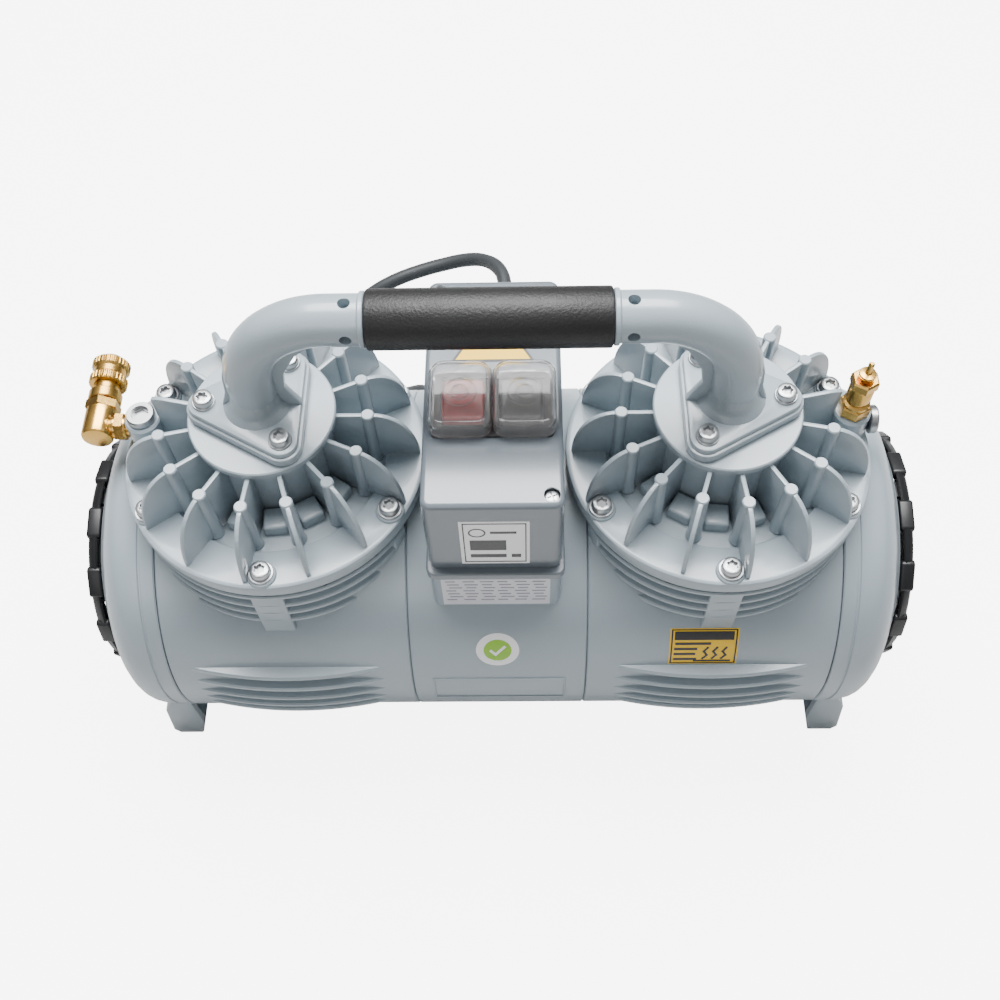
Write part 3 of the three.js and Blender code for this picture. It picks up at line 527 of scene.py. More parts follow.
def lower_rib(rise, face):
    """Lens-shaped rib: a big flat disc whose edge swells out of the barrel between its two tips."""
    root = math.sqrt(BARREL_R ** 2 - rise ** 2) - 1
    crest = math.sqrt(RIB_CREST ** 2 - rise ** 2)
    height = crest - root
    reach = (RIB_HALF ** 2 + height ** 2) / (2 * height)
    z = AXIS_Z + rise
    rib = turned("rib", "z", (HEAD_X, face * (crest - reach), 0), [
        (reach - 24, z - 2.6), (reach - 1.2, z - 2.3), (reach - 0.2, z - 1.2), (reach, z),
        (reach - 0.2, z + 1.2), (reach - 1.2, z + 2.3), (reach - 24, z + 2.6)], steps=360, closed=True)
    clip(rib, (0, face * (root - 6), 0), (0, -face, 0))
    clip(rib, (SPAN_HIGH, 0, 0), (1, 0, 0))
    return clip(rib, (SPAN_LOW, 0, 0), (-1, 0, 0))


def case_casting():
    barrel = turned("case_barrel", "x", (0, 0, AXIS_Z), [
        (BARREL_R - 8, SPAN_LOW), (BARREL_R - 1, SPAN_LOW), (BARREL_R, SPAN_LOW + 0.8),
        (BARREL_R, SPAN_HIGH - 0.8), (BARREL_R - 1, SPAN_HIGH), (BARREL_R - 8, SPAN_HIGH)], steps=180,
        closed=True)
    cut(barrel, turned("bore", "z", (HEAD_X, 0, 0), [(CASE_BORE, 170), (CASE_BORE, 270)], steps=96))
    pad = soft_box("pad", (NECK_R - 8, -10, AXIS_Z + 62), (RIB_R - 0.3, 10, DECK_Z - 0.1))
    parts = [barrel, neck()] + ring_of(pad, 6, 30)
    for piece in parts[1:]:
        clip(piece, (SPAN_HIGH, 0, 0), (1, 0, 0))
        clip(piece, (SPAN_LOW, 0, 0), (-1, 0, 0))
    parts += [lower_rib(rise, face) for face in (-1, 1) for rise in (31, 18.5, 6, -6.5, -19)]
    bearing_wall = turned("bearing_wall", "x", (0, 0, AXIS_Z), [
        (20.3, 62), (20.3, 76), (28, 76), (28, 68), (104.4, 68), (104.4, 60), (12, 60), (12, 62)], steps=96,
        closed=True)
    end_wall = turned("end_wall", "x", (0, 0, AXIS_Z), [(30, 208), (104.4, 208), (104.4, 216), (30, 216)],
                      steps=96, closed=True)
    return joined("case", parts + [bearing_wall, end_wall], angle=30)


both(case_casting(), "case_casting", cast_paint, "cast_paint", ["crankcase"])

# ---- End caps and feet --------------------------------------------------------------------------
# Domed end covers cast in one piece with two feet each, open in the middle for the cooling air.
CAP_END = 262
cap_shell = turned("cap_shell", "x", (0, 0, AXIS_Z), [
    (106, CASE_END + 0.3), (111.2, CASE_END + 0.3), (BARREL_R, CASE_END + 1.1), (BARREL_R, 226),
    (111.2, 226.6), (111.2, 227.6), (BARREL_R, 228.2), (111.9, 233), (111.2, 237), (110.2, 241), (108.2, 245),
    (104.8, 249), (100.2, 252.6), (94.5, 255.6), (88.5, 258), (84, 259.4), (81.5, 261), (80, CAP_END),
    (77.4, CAP_END), (76.4, 261), (78.4, 256), (88, 252.4), (97, 246.4), (103, 240), (106, 233)], steps=180,
    closed=True, angle=26)


def foot(face):
    """Cast leg: a front plate, an outer and an inner web, open towards the middle of the machine."""
    near, far = sorted((face * 93, face * 58))
    outer = drawn("leg", [(231, 82), (238, 82), (246, 68), (254, 50), (259, 7), (255.5, 0), (237, 0),
                          (231, 26)], "y",
                  near, far, 1.2)
    cut(outer, soft_box("leg_room", (215, near + 5, 6), (252.5, far - 5, 95), 2))
    return cut(outer, turned("cap_room", "x", (0, 0, AXIS_Z), [
        (107.5, 200), (107.5, 240), (99, 249), (88, 254.6), (80, 258), (80, 266)], steps=180))


cap = joined("cap", [cap_shell, foot(-1), foot(1)], angle=28)
both(cap, "cap_casting", cast_paint, "cast_paint", ["end_cap"])

# ---- Fan guards ---------------------------------------------------------------------------------
# Black moulded grilles clipped into the caps: rings and spokes with a scalloped rim of blocks.
guard_parts = [turned(name, "x", (0, 0, AXIS_Z), outline, steps=steps, closed=True) for name, outline,
               steps in (
    ("guard_rim", [(70.5, 266.4), (78, 265.2), (79.2, 266.4), (78, 270), (76, 271.8), (71.5, 272.4)], 96),
    ("guard_ring", [(57, 272.6), (61, 271.6), (61, 274.6), (57, 275.6)], 96),
    ("guard_middle", [(42, 275), (46.5, 274), (46.5, 277.4), (42, 278.4)], 96),
    ("guard_inner", [(28, 276.4), (31.6, 275.8), (31.6, 279.2), (28, 279.8)], 72))]
guard_parts.append(turned("guard_hub", "x", (0, 0, AXIS_Z), [
    (14, 276), (19, 276.4), (19, 279), (16.6, 281), (5, 281.4), (1, 281.4)], steps=64))
spoke = drawn("guard_spoke", [(276.6, 15), (275.2, 47), (267.5, 75), (271, 75), (278.2, 48), (280.4, 15)],
              "y", -2, 2, 0.5)
lobe = drawn("guard_lobe", [(-9.5, 71), (9.5, 71), (11, 76), (9.5, 79.2), (-9.5, 79.2), (-11, 76)], "x",
             263.2, 272.6, 1.6, 3)
tab = soft_box("guard_tab", (258, -6, 71), (268, 6, 74.6), 0.6)
for piece, count, first in ((spoke, 16, 0), (lobe, 12, 15), (tab, 4, 0)):
    guard_parts += ring_of(piece, count, first, (0, 0, AXIS_Z), "X")
both(joined("guard", guard_parts), "grille", black_plastic, "black_plastic", ["fan_guard"])

# ---- Cylinder heads -----------------------------------------------------------------------------
# Painted castings bolted on the necks: a round plate with fifteen cooling fins round a hub, a
# round pillar in each fin, a flat disc for the handle on top and one boss for the air port.
RIM_Z = 258.7
FIN_TOP = 307
DISC_TOP = 311.5
PORT_X = 220.74
PORT_Y = 14.41
PORT_TOP = 285
PORT_AXIS_Z = 275
BOLT_RING = 86

valve_plate = turned("valve_plate", "z", (HEAD_X, 0, 0), [
    (60, 252.8), (93, 252.8), (94, 253.6), (94, 257.6), (93.2, 258.4), (60, 258.4)], steps=180, closed=True)
both(valve_plate, "valve_plate_ring", cast_paint, "cast_paint", ["valve_plate"])


def fin(reach):
    """Fin in the XZ plane, level on top and falling in an arc to the rim, as far out as it is to reach."""
    arc = []
    for step in range(13):
        t = step / 12
        corners = [(91.5, 268), (90, 288), (82, FIN_TOP), (64, FIN_TOP)]
        weights = [(1 - t) ** 3, 3 * t * (1 - t) ** 2, 3 * t * t * (1 - t), t ** 3]
        u, v = (sum(w * c[i] for w, c in zip(weights, corners)) for i in (0, 1))
        if u <= reach:
            arc.append((u, v))
    return drawn("fin", [(40, 262), (arc[0][0], 262)] + arc + [(40, FIN_TOP)], "y", -1.4, 1.4, 0.55, 2)


head_plate = turned("head_plate", "z", (HEAD_X, 0, 0), [
    (94, RIM_Z), (95, RIM_Z + 0.8), (95, 263.4), (94.6, 264.6), (93.6, 265.2), (92, 265.3), (71.4, 265.3),
    (70, 264.7), (69, 261.6), (68, 261), (47, 261), (44, 261.6), (41, 264), (40, 268), (40, 306.2),
    (43.6, 306.2), (44.4, 307), (44.4, 310.7), (43.6, 311.5), (10, 311.5), (10, 300)], steps=180, angle=28)
head_parts = [head_plate]
full_fin = fin(92)
short_fin = fin(73)
pillar = turned("pillar", "z", (63, 0, 0), [(5, 262), (4.2, 268), (4, 306.8), (3.4, 307.7)], steps=24)
for k in range(15):
    angle = 180 - 24 * k
    at_port = angle == 12
    for part in [short_fin] if at_port else [full_fin, pillar]:
        head_parts.append(placed(part, "head_fin", (HEAD_X, 0, 0), angle))
for piece in (full_fin, short_fin, pillar):
    bpy.data.objects.remove(piece)
seat = turned("bolt_seat", "z", (BOLT_RING, 0, 0), [(9.2, 264), (8.6, 266.8), (7.9, 267.4)], steps=32)
step_block = soft_box("step_block", (42, -7.5, 260), (57, 7.5, 269.5), 1.8)
head_parts += ring_of(seat, 6, 30) + ring_of(step_block, 15, 168)
head_parts.append(turned("port_boss", "z", (PORT_X, PORT_Y, 0), [
    (13.4, 262), (12, 264), (11.3, 268), (11.3, 283.8), (10.2, 285), (7, 285), (6.8, 283)], steps=48))
both(joined("head", head_parts, angle=30), "head_casting", cast_paint, "cast_paint", ["cylinder_head"])


def star_bolt(name, head_r, washer_r, head_h):
    """Round-headed bolt with a six-lobed socket, standing on a washer at z = 0."""
    socket = head_r * 0.52
    bolt = turned(name, "z", (0, 0, 0), [
        (washer_r - 0.2, 0), (washer_r, 0.2), (washer_r, 1.1), (washer_r - 0.3, 1.4), (head_r + 0.3, 1.4),
        (head_r, 1.8), (head_r, head_h - 1.1), (head_r - 0.4, head_h - 0.4), (head_r - 1.2, head_h),
        (socket + 0.1, head_h), (socket, head_h - 0.2), (socket, head_h - 2.8)], steps=48)
    for vertex in bolt.data.vertices:
        across = vertex.co.xy.length / MM
        if across < socket + 0.2:
            lobe = 1 + 0.14 * math.cos(6 * math.atan2(vertex.co.y, vertex.co.x))
            vertex.co.x *= lobe
            vertex.co.y *= lobe
    return bolt


rim_bolt = star_bolt("rim_bolt", 6.0, 7.6, 6.4)
rim_bolts = [placed(rim_bolt, "rim_bolt", (HEAD_X + BOLT_RING * math.cos(math.radians(angle)),
                                            BOLT_RING * math.sin(math.radians(angle)), 267.4), angle)
             for angle in range(30, 390, 60)]
bpy.data.objects.remove(rim_bolt)
both(joined("rim_bolts", rim_bolts), "rim_bolts", steel, "zinc_steel", [])

# ---- Handle -------------------------------------------------------------------------------------
# Two painted cast elbows, each on a three-bolt flange with webs, carry a steel tube between them.
# A pebbled rubber sleeve is pushed over the tube, and the elbow ends have four drilled holes.
FLANGE_Z = DISC_TOP + 0.3
FLANGE_TOP = FLANGE_Z + 10
GRIP_Z = 397
TUBE_R = 14.2
BEND_R = 52


def rounded_triangle(corner):
    points = []
    for turn in (0, 120, 240):
        x = HEAD_X + 32 * math.cos(math.radians(turn))
        y = 32 * math.sin(math.radians(turn))
        for step in range(9):
            angle = math.radians(turn - 60 + 15 * step)
            points.append((x + corner * math.cos(angle), y + corner * math.sin(angle)))
    return points


bend = [(HEAD_X, 0, FLANGE_Z + 1), (HEAD_X, 0, 330)]
for step in range(25):
    angle = math.radians(90 * step / 24)
    bend.append((HEAD_X - BEND_R + BEND_R * math.cos(angle), 0, GRIP_Z - BEND_R + BEND_R * math.sin(angle)))
bend.append((67.6, 0, GRIP_Z))
elbow_tube = tube("elbow_tube", bend, TUBE_R, rounding=14)
for axis in "yz":
    for start in (-20, 7):
        cut(elbow_tube, turned("drill", axis, (76, 0, GRIP_Z), [(3.4, start), (3.4, start + 13)], steps=28))
elbow = joined("elbow", [
    elbow_tube,
    turned("elbow_ring", "x", (0, 0, GRIP_Z), [
        (10, 66), (14.8, 66), (15.4, 66.5), (15.4, 68.4), (14.9, 69), (14.2, 69.4), (10, 69.4)], steps=72,
        closed=True),
    turned("elbow_root", "z", (HEAD_X, 0, 0), [(21, 320), (20, 322.4), (17.4, 324.6), (15.4, 328),
                                               (14.2, 334), (10, 334)],
           steps=72),
    drawn("flange", rounded_triangle(11.5), "z", FLANGE_Z, FLANGE_Z + 6, 0.8),
    drawn("flange_step", rounded_triangle(9.8), "z", FLANGE_Z + 5, FLANGE_TOP, 0.9),
    drawn("web", [(HEAD_X - 27, FLANGE_TOP - 1), (HEAD_X + 21, FLANGE_TOP - 1), (HEAD_X + 16.6, 334),
                  (HEAD_X + 15.4, 348), (HEAD_X + 9, 372), (HEAD_X - 12, 396), (HEAD_X - 50, 384),
                  (HEAD_X - 30, 368), (HEAD_X - 21, 352), (HEAD_X - 19, 338)], "y", -2.2, 2.2, 0.8)],
                  angle=35)
both(elbow, "elbow_casting", cast_paint, "cast_paint", ["handle_elbow"])

flange_bolt = star_bolt("flange_bolt", 5.8, 6.8, 6.2)
for side, sign in (("right", 1), ("left", -1)):
    for i, angle in enumerate((0, 120, 240)):
        place = (sign * (HEAD_X + 32 * math.cos(math.radians(angle))), 32 * math.sin(math.radians(angle)),
                 FLANGE_TOP)
        bolt = placed(flange_bolt, f"{side}_star_bolt_{i + 1}", place, 17 * i)
        dress(bolt, steel, "frame", "zinc_steel", f"{side}_flange_bolt_{i + 1}")
bpy.data.objects.remove(flange_bolt)

grip_rubber = finish("grip_rubber", (0.005, 0.005, 0.0055), 0.5, tone=0.35, patch=50, gloss_shift=0.2,
                     grain=650, relief=0.3)
grip = turned("rubber_grip", "x", (0, 0, GRIP_Z), [
    (10.2, -65.7), (15, -65.7), (16.1, -65.2), (16.5, -64.2), (16.5, 64.2), (16.1, 65.2), (15, 65.7),
    (10.2, 65.7)], steps=96, closed=True)
dress(grip, grip_rubber, "frame", "grip_rubber", "handle_grip")

# ---- Terminal box -------------------------------------------------------------------------------
# Moulded grey box on a saddle over the motor: a base with the wiring, and a deep lid with a skirt,
# held by two recessed screws. The switch sits in the lid under a clear two-lobed dust cover.
box_plastic = finish("box_plastic", (0.25, 0.31, 0.36), 0.3, tone=0.08, patch=18, gloss_shift=0.1, grain=900,
                     relief=0.05, coat=0.2)
BOX_TOP = 334
SPLIT_Z = 254
SWITCH_Y = -13


def rounded_rectangle(half_x, half_y, radius, middle=(0, 0)):
    points = []
    for quarter, (sx, sy) in enumerate(((1, 1), (-1, 1), (-1, -1), (1, -1))):
        for step in range(7):
            angle = math.radians(90 * quarter + 15 * step)
            points.append((middle[0] + sx * (half_x - radius) + radius * math.cos(angle),
                           middle[1] + sy * (half_y - radius) + radius * math.sin(angle)))
    return points


def round_top(piece, height, size, segments=4):
    """Rounds the edges that lie at one height."""
    pick(piece)
    bpy.ops.object.mode_set(mode="EDIT")
    bpy.ops.mesh.select_mode(type="VERT")
    bpy.ops.mesh.select_all(action="DESELECT")
    bpy.ops.object.mode_set(mode="OBJECT")
    for vertex in piece.data.vertices:
        vertex.select = abs(vertex.co.z - height * MM) < 1e-5
    bpy.ops.object.mode_set(mode="EDIT")
    bpy.ops.mesh.select_mode(type="EDGE")
    bpy.ops.mesh.bevel(offset=size * MM, segments=segments, affect="EDGES")
    bpy.ops.mesh.select_mode(type="VERT")
    bpy.ops.object.mode_set(mode="OBJECT")
    return settle(piece, piece.name)


box_base = drawn("box_base", rounded_rectangle(40, 83, 5), "z", 178, SPLIT_Z)
cut(box_base, drawn("box_room", rounded_rectangle(37, 80, 3), "z", 170, SPLIT_Z + 5))
cut(box_base, turned("saddle", "x", (0, 0, AXIS_Z), [(112.6, -90), (112.6, 90)], steps=180))
dress(settle(box_base, "box_base"), box_plastic, "frame", "box_plastic", "terminal_box_base")

lid_low = SPLIT_Z + 0.3
lid_body = round_top(drawn("lid_body", rounded_rectangle(40, 80, 6), "z", lid_low + 1, BOX_TOP), BOX_TOP, 3)
lid_skirt = round_top(drawn("lid_skirt", rounded_rectangle(41.8, 84.6, 6), "z", lid_low, lid_low + 6),
                      lid_low + 6, 1.2)
cut(lid_body, drawn("lid_room", rounded_rectangle(36.8, 76.8, 3), "z", lid_low - 1, BOX_TOP - 3))
cut(lid_skirt, drawn("skirt_room", rounded_rectangle(39, 79, 4), "z", lid_low - 1, lid_low + 9))
for x, y in ((33, -72), (-33, 72)):
    cut(lid_body, turned("screw_well", "z", (x, y, BOX_TOP), [(4.6, -5.5), (4.6, 5)], steps=32))
cut(lid_body, soft_box("window", (-33, SWITCH_Y - 20, BOX_TOP - 8), (33, SWITCH_Y + 20, BOX_TOP + 5), 0))
cut(lid_body, turned("gland_hole", "y", (GLAND_X, 0, GLAND_Z), [(8.3, 60), (8.3, 90)], steps=32))
# The lid takes the box's grey plastic at about half its brightness: painted shade, standing in for the shade
# on the lid's front face.
lid_plastic_painted_shade = finish("lid_plastic_painted_shade", (0.125, 0.15, 0.172), 0.24, tone=0.08, patch=18, gloss_shift=0.1,
                     grain=900, relief=0.04, coat=0.6)
dress(joined("box_lid", [lid_body, lid_skirt]), lid_plastic_painted_shade, "frame", "box_plastic", "terminal_box_lid")

for i, (x, y) in enumerate(((33, -72), (-33, 72))):
    screw = turned("well_screw", "z", (x, y, BOX_TOP), [
        (4.3, -5.4), (4.3, -3.4), (3.8, -2.6), (2.6, -2.2), (1, -2.1)], steps=32)
    for turn in (20, 110):
        slit = soft_box("slit", (-2.6, -0.5, BOX_TOP - 3.6), (2.6, 0.5, BOX_TOP), 0)
        cut(screw, placed(slit, "slit_turned", (x, y, 0), turn))
        bpy.data.objects.remove(slit)
    dress(settle(screw, f"well_screw_{i + 1}"), steel, "frame", "zinc_steel", f"lid_screw_{i + 1}")

bezel_outline = rounded_rectangle(35, 22, 3, (0, SWITCH_Y))
bezel = round_top(drawn("bezel", bezel_outline, "z", BOX_TOP + 0.3, BOX_TOP + 2), BOX_TOP + 2, 0.6, 2)
cut(bezel, soft_box("switch_well", (-30, SWITCH_Y - 18, 300), (30, SWITCH_Y + 18, BOX_TOP + 5), 0))
well = drawn("well", rounded_rectangle(32, 19, 2, (0, SWITCH_Y)), "z", 300, BOX_TOP + 1)
for x in (-16.5, 16.5):
    cut(well, soft_box("button_way", (x - 12.5, SWITCH_Y - 14, 320), (x + 12.5, SWITCH_Y + 14, BOX_TOP + 5),
                       0))
dress(joined("switch_frame", [bezel, well]), black_plastic, "frame", "black_plastic", "switch_body")

red_plastic = finish("red_plastic", (0.42, 0.05, 0.045), 0.32, tone=0.12, patch=60, grain=1200, relief=0.02,
                     coat=0.3)
pad_grey = finish("pad_grey", (0.10, 0.105, 0.11), 0.35, tone=0.12, patch=60, grain=1200, relief=0.02,
                  coat=0.3)
for x, name, paint, tint, node in ((-16.5, "stop_key", red_plastic, "red_plastic", "stop_button"),
                                   (16.5, "start_key", pad_grey, "black_plastic", "start_button")):
    key_outline = rounded_rectangle(12.1, 13.6, 3, (x, SWITCH_Y))
    key = round_top(drawn(name, key_outline, "z", 325, BOX_TOP + 7), BOX_TOP + 7, 1.4)
    cut(key, turned("dish", "z", (x, SWITCH_Y, BOX_TOP), [(0.5, 6), (5, 6.2), (9, 7.2)], steps=48))
    dress(settle(key, name), paint, node, tint, node)

clear_plastic = finish("clear_plastic", (0.93, 0.92, 0.92), 0.03, tone=0.05, patch=60, gloss_shift=0.04,
                       grain=300, relief=0.03)
clear_shader = clear_plastic.node_tree.nodes["Principled BSDF"]
clear_shader.inputs["Transmission Weight"].default_value = 0.94
clear_shader.inputs["IOR"].default_value = 1.3


def cover_lobe(x, shrink, low, high, size):
    outline = rounded_rectangle(18.2 - shrink, 23.5 - shrink, 8.5 - shrink, (x, SWITCH_Y))
    return round_top(drawn("lobe", outline, "z", low, high), high, size)


cover_parts = []
for x in (-18.3, 18.3):
    shell = cover_lobe(x, 0, BOX_TOP + 2.3, BOX_TOP + 14.3, 3.6)
    cover_parts.append(cut(shell, cover_lobe(x, 1.5, BOX_TOP + 1, BOX_TOP + 12.8, 2.6)))
for x in (-18.3, 18.3):
    for r in (9.5, 5):
        cover_parts.append(turned("cover_ring", "z", (x, SWITCH_Y, BOX_TOP), [
            (r - 0.5, 14), (r - 0.3, 14.9), (r + 0.3, 14.9), (r + 0.5, 14)], steps=48, closed=True))
cover = joined("dust_cover", cover_parts, angle=35)
dress(cover, clear_plastic, "frame", "clear_plastic", "switch_cover")

# ---- Brass outlet and safety valve ---------------------------------------------------------------
# Machined brass fittings screwed into the bosses: an elbow with a quick coupling and its sliding
# knurled sleeve on the left head, a safety valve with a pull stem on the right one.
brass = finish("brass", (0.70, 0.42, 0.11), 0.24, metallic=1.0, tone=0.35, patch=90, gloss_shift=0.3,
               grain=1800, relief=0.02)
OUTLET_X = -250.74
outlet = joined("brass_elbow", [
    turned("elbow_corner", "y", (OUTLET_X, 0, PORT_AXIS_Z), [
        (1, 4.6), (6, 4.8), (9.2, 5.6), (10, 7), (10, 25.6), (9.4, 26.4)], steps=64),
    turned("elbow_hex", "y", (OUTLET_X, 0, PORT_AXIS_Z), [
        (10, 25.4), (11.2, 26.2), (11.2, 31.6), (10, 32.4), (5, 32.4), (5, 24)], steps=6, angle=20),
    turned("elbow_stub", "x", (0, PORT_Y, PORT_AXIS_Z), [
        (8, OUTLET_X), (8, -243), (7.2, -242.4), (7.2, -241), (8, -240.4), (8, -233.4), (7.4, -232.4),
        (6, -232.3), (6, -228)], steps=48),
    turned("elbow_nut", "x", (0, PORT_Y, PORT_AXIS_Z), [
        (8.4, -239.6), (9.4, -239), (9.4, -234), (8.4, -233.4)], steps=6, angle=20)])
dress(outlet, brass, "frame", "brass", "outlet_elbow")

COUPLING_Y = 32.7
coupling = turned("brass_coupling", "y", (OUTLET_X, COUPLING_Y, PORT_AXIS_Z), [
    (5, 0), (9.8, 0), (10.4, 0.6), (10.4, 6.4), (9.6, 7.2), (8.2, 8), (8.2, 32.8), (7.4, 34), (5.6, 34),
    (5, 33)], steps=64, closed=True)
dress(coupling, brass, "frame", "brass", "coupling_body")


def knurled(name, axis, centre, outline, teeth, depth):
    """Turned ring whose outer bands are pressed into fine teeth."""
    ring = turned(name, axis, (0, 0, 0), outline, steps=teeth * 4, closed=True, angle=20)
    widest = max(radius for radius, place in outline)
    spin = {"x": ("y", "z"), "y": ("x", "z"), "z": ("x", "y")}[axis]
    for vertex in ring.data.vertices:
        u, v = (getattr(vertex.co, letter) for letter in spin)
        if math.hypot(u, v) / MM > widest - 0.1:
            tooth = round(math.degrees(math.atan2(v, u)) * teeth * 4 / 360) % 4
            shrink = 1 - (depth / widest if tooth < 2 else 0)
            setattr(vertex.co, spin[0], u * shrink)
            setattr(vertex.co, spin[1], v * shrink)
    ring.location = Vector(centre) * MM
    return settle(ring, name, 20)


SLEEVE_Y = 45.7
sleeve = knurled("brass_sleeve", "y", (OUTLET_X, SLEEVE_Y, PORT_AXIS_Z), [
    (8.5, 0), (11, 0), (12, 0.7), (12, 5.2), (11.2, 6), (10.4, 7), (10.4, 11), (11.2, 12), (12, 12.8),
    (12, 17.3), (11, 18), (8.5, 18)], 30, 0.5)
dress(sleeve, brass, "coupling_sleeve", "brass", "coupling_sleeve")

VALVE_Z = PORT_TOP + 0.3
valve_foot = (PORT_X, PORT_Y, VALVE_Z)
valve = joined("safety_valve", [
    turned("valve_hex", "z", valve_foot, [(8.6, 0), (9.8, 0.8), (9.8, 7.4), (8.6, 8.2)], steps=6, angle=20),
    turned("valve_body", "z", valve_foot, [
        (7.4, 7.6), (8.2, 8.4), (8.2, 10.4), (6.6, 11.4), (6.6, 14), (7.6, 15), (7.6, 25), (7, 26.4)],
        steps=64),
    turned("valve_cap", "z", valve_foot, [
        (7.4, 26), (8.8, 27), (8.8, 32.4), (7.6, 33.4), (3.1, 33.4), (3.1, 29)], steps=6, angle=20)])
dress(valve, brass, "frame", "brass", "relief_valve_body")

stem = turned("valve_stem", "z", valve_foot, [
    (2.6, 10), (2.6, 36), (5, 36.6), (5.2, 37.4), (4.8, 38.4), (2.2, 38.8), (1.8, 39.6), (1.8, 47),
    (1.1, 48)], steps=40)
dress(stem, brass, "relief_valve_stem", "zinc_steel", "relief_valve_stem")


def socket_plug(name):
    """Round screw plug with a hexagonal socket, standing on z = 0."""
    body = turned(name, "z", (0, 0, 0), [(8.4, 0), (9, 0.6), (9, 4), (8.2, 5), (5.6, 5), (5.6, 2)], steps=48)
    return cut(body, turned("key_way", "z", (0, 0, 0), [(5, 1), (5, 9)], steps=6))


screw_plug = socket_plug("screw_plug")
plug_left = placed(screw_plug, "left_screw_plug", (-PORT_X, PORT_Y, VALVE_Z))
plug_right = placed(screw_plug, "right_screw_plug", (PORT_X + 11.6, PORT_Y, PORT_AXIS_Z), 90, "Y")
bpy.data.objects.remove(screw_plug)
dress(plug_left, steel, "frame", "zinc_steel", "left_port_plug")
dress(plug_right, steel, "frame", "zinc_steel", "right_port_plug")

# ---- Labels -------------------------------------------------------------------------------------
# Printed foil labels stuck on the lid, the base and the barrel. They are drawn without any
# lettering: plain bars stand for print, a tick and a triangle for the signs.


def foil(name, colour, gloss=0.4, tone=0.06):
    return finish(name, colour, gloss, tone=tone, patch=120, grain=1500, relief=0.01, coat=0.3)


foil_white = foil("foil_white", (0.93, 0.93, 0.93))
foil_yellow = foil("foil_yellow", (0.95, 0.58, 0.0), gloss=0.5)
foil_black = foil("foil_black", (0.014, 0.014, 0.015), tone=0.1)
foil_green = foil("foil_green", (0.26, 0.55, 0.02), tone=0.15)
foil_silver = finish("foil_silver", (0.62, 0.62, 0.66), 0.38, metallic=0.3, tone=0.1, patch=90, grain=1500,
                     relief=0.01)


def stick(piece, material):
    piece.data.materials.clear()
    piece.data.materials.append(material)
    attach(piece, "frame")
    return piece


def front_bar(x_low, x_high, z_low, z_high, y, thick=0.12):
    return soft_box("bar", (x_low, y - thick, z_low), (x_high, y + 0.05, z_high), 0)


LID_FRONT = -80
BASE_FRONT = -83
lid_label = soft_box("lid_label", (-19.5, LID_FRONT - 0.15, 267), (20.5, LID_FRONT + 0.1, 318), 0)
stick(round_top(lid_label, 318, 0.1, 1), foil_white)
lid_prints = [front_bar(*sides, LID_FRONT - 0.15) for sides in (
    (-17.6, -16.9, 269, 316), (18, 18.7, 269, 316), (-17.6, 18.7, 269, 270), (-17.6, 18.7, 315, 316),
    (-2, 13, 304, 306.5), (-14, 7, 275, 279), (-14, 7, 284, 296), (10, 15.5, 275, 279))]
dial = turned("dial", "y", (-9.5, LID_FRONT, 305), [(5, -0.3), (5, -0.1), (4.1, -0.1), (4.1, -0.3)], steps=40,
              closed=True)
stick(joined("lid_print", lid_prints + [dial]), foil_black)

stick(front_bar(-33.5, 33, 216, 251.5, BASE_FRONT), foil_silver).name = "type_plate"
plate_rows = []
for row in range(7):
    z = 247.5 - 4.2 * row
    for column in range(6):
        start = -31 + 10.6 * column + (row % 3)
        plate_rows.append(front_bar(start, start + 6.2 + (row + column) % 3, z, z + 1.3, BASE_FRONT - 0.12,
                                    0.08))
print_grey = finish("print_grey", (0.22, 0.22, 0.26), 0.45, tone=0.3, patch=400)
stick(joined("type_plate_print", plate_rows), print_grey)


def on_barrel(name, piece, x, rise, lift):
    """Wraps a flat sheet in the XY plane round the front of the barrel, at a height over its axis."""
    lean = math.asin(rise / BARREL_R)
    for vertex in piece.data.vertices:
        angle = lean + vertex.co.y / (BARREL_R * MM)
        radius = (BARREL_R + lift) * MM
        vertex.co = (x * MM + vertex.co.x, -radius * math.cos(angle), AXIS_Z * MM + radius * math.sin(angle))
    pick(piece)
    piece.modifiers.new("foil", "SOLIDIFY").thickness = 0.12 * MM
    bpy.ops.object.modifier_apply(modifier="foil")
    return settle(piece, name)


def flat_sheet(half_x, half_y, middle=(0, 0)):
    deselect()
    bpy.ops.mesh.primitive_grid_add(x_subdivisions=4, y_subdivisions=24, size=2,
                                    location=(middle[0] * MM, middle[1] * MM, 0))
    piece = bpy.context.object
    piece.scale = (half_x * MM, half_y * MM, 1)
    bpy.ops.object.transform_apply(location=True, scale=True)
    return piece


def flat_disc(radius):
    deselect()
    bpy.ops.mesh.primitive_circle_add(vertices=64, radius=radius * MM, fill_type="NGON")
    bpy.ops.object.mode_set(mode="EDIT")
    for ring in range(5):
        bpy.ops.mesh.inset(thickness=radius * MM / 6)
    bpy.ops.object.mode_set(mode="OBJECT")
    return bpy.context.object


def flat_stroke(points, width):
    """A bent stroke as straight sheets, one from each point to the next."""
    pieces = []
    for (x0, y0), (x1, y1) in zip(points, points[1:]):
        length = math.hypot(x1 - x0, y1 - y0) + width
        sheet = flat_sheet(length / 2, width / 2)
        sheet.rotation_euler = (0, 0, math.atan2(y1 - y0, x1 - x0))
        sheet.location = ((x0 + x1) / 2 * MM, (y0 + y1) / 2 * MM, 0)
        pick(sheet)
        bpy.ops.object.transform_apply(location=True, rotation=True)
        pieces.append(sheet)
    return pieces


